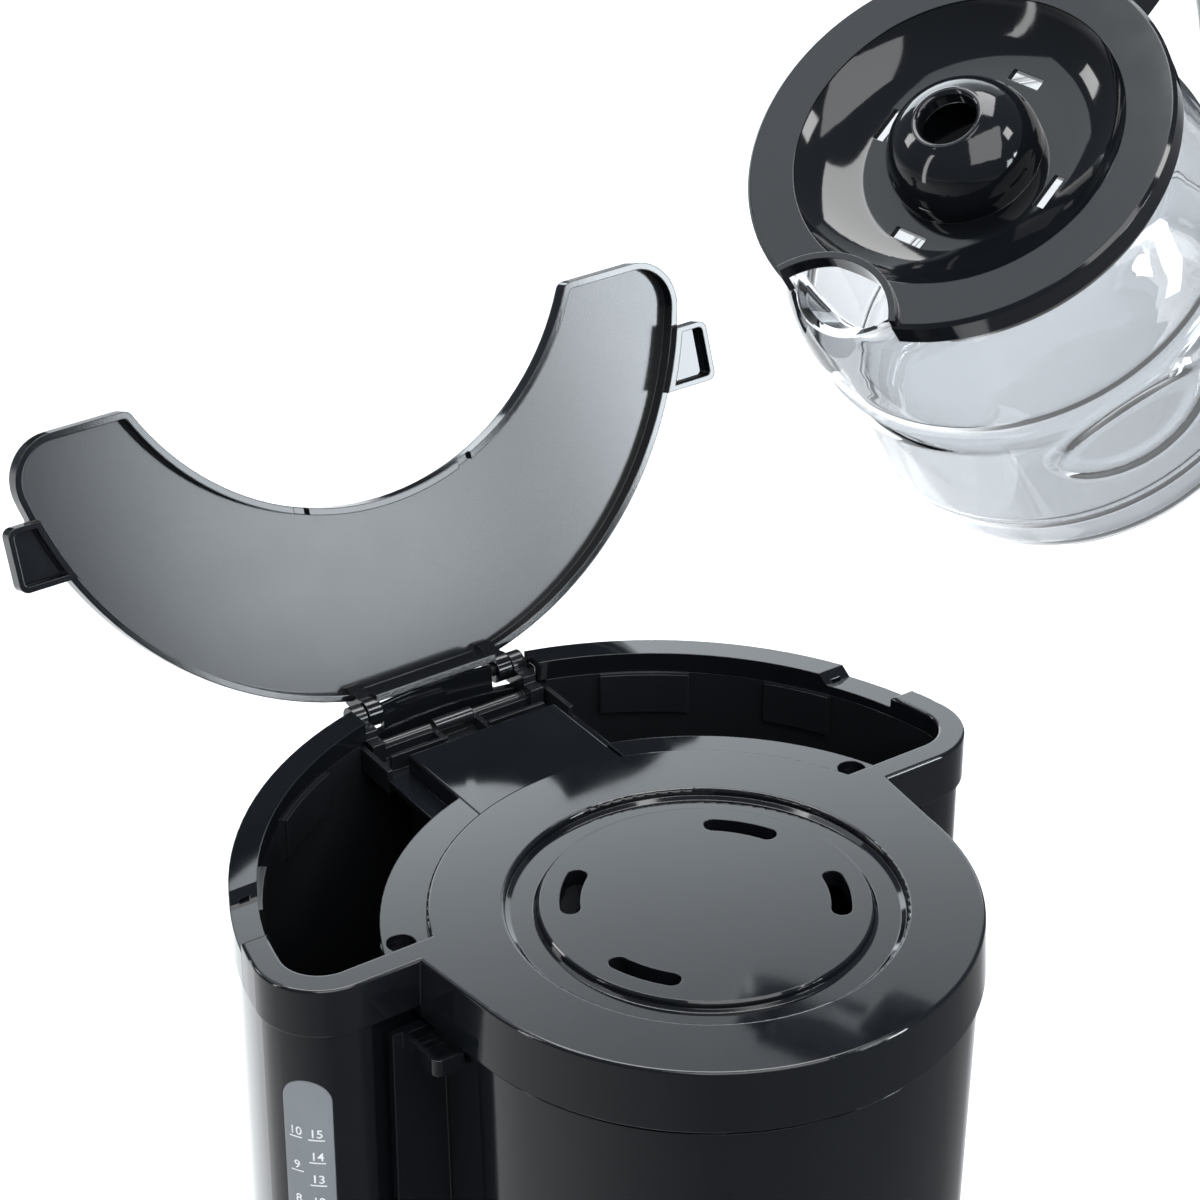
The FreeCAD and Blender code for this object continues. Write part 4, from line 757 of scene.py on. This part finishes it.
stage_plane("light_sheet", upright(SHEET_DIST, SHEET_HALF, TOP + SHEET_LOW, TOP + SHEET_HIGH),
            sheet_material())

# Low dark sheet far behind, seen only in reflections: a painted dark reflection, so that faces seen
# edge-on don't mirror the bright floor.
DARK_SHEET_DIST, DARK_SHEET_HALF, DARK_SHEET_LOW, DARK_SHEET_HIGH = 3.0, 2.0, -0.02, 0.60


def dark_cloth():
    material, tree, shader = new_material("dark_cloth")
    clouds = noise(tree, coords(tree), scale=4.0, detail=3.0)
    # Painted dark reflection: near-black grey that only glossy faces see.
    matt_shader(tree, shader, two_tone(tree, clouds, grey(0.02), grey(0.03)), rough=0.95, specular=0.0)
    return material


dark_reflection_sheet = stage_plane("back_dark_reflection", upright(DARK_SHEET_DIST, DARK_SHEET_HALF, DARK_SHEET_LOW, DARK_SHEET_HIGH), dark_cloth())
mirrored_only(dark_reflection_sheet)

# Cards on the floor round the machine, seen only in reflections, with painted shade: dark in front of
# it, where less light falls, and paler towards the back.
# Each card is (x low, x high, y low, y high). Each painted shade is a heading in degrees and its grey.
CARD_Z = 0.006
CARDS = {"front": (-2.6, 2.4, -2.6, -0.09), "left": (-2.6, -0.13, -0.09, 1.6),
         "right": (0.13, 2.4, -0.09, 1.6)}
CARD_PAINTED_SHADES = [(-180, 0.36), (-150, 0.22), (-120, 0.10), (-50, 0.10), (-10, 0.11), (15, 0.20),
               (45, 0.85), (110, 0.85), (135, 0.60), (160, 0.42), (180, 0.36)]


def card_material():
    """Painted shade: grey that follows the heading round the machine, dark in front where less light
    falls.
    """
    material, tree, shader = new_material("floor_card_painted_shade")
    vector = coords(tree)
    axes = split_xyz(tree, vector)
    heading = calc(tree, "ARCTAN2", axes["Y"], axes["X"])
    turn = map_range(tree, heading, -math.pi, math.pi, 0.0, 1.0)
    # Painted shade of the floor, by heading round the machine.
    shade = ramp(tree, turn, [((degrees + 180) / 360, grey(value)) for degrees, value in CARD_PAINTED_SHADES])
    clouds = two_tone(tree, noise(tree, vector, scale=3.0, detail=3.0), grey(0.94), grey(1.0))
    colour = vector_calc(tree, "MULTIPLY", shade, clouds)
    matt_shader(tree, shader, colour, rough=0.95, specular=0.0)
    return material


CARD = card_material()
for name, (x0, x1, y0, y1) in CARDS.items():
    corners = [(x0, y0, CARD_Z), (x1, y0, CARD_Z), (x1, y1, CARD_Z), (x0, y1, CARD_Z)]
    mirrored_only(stage_plane("card_" + name, corners, CARD))

scene.view_settings.view_transform = "Standard"
scene.view_settings.look = "None"
scene.view_settings.exposure = 0.0
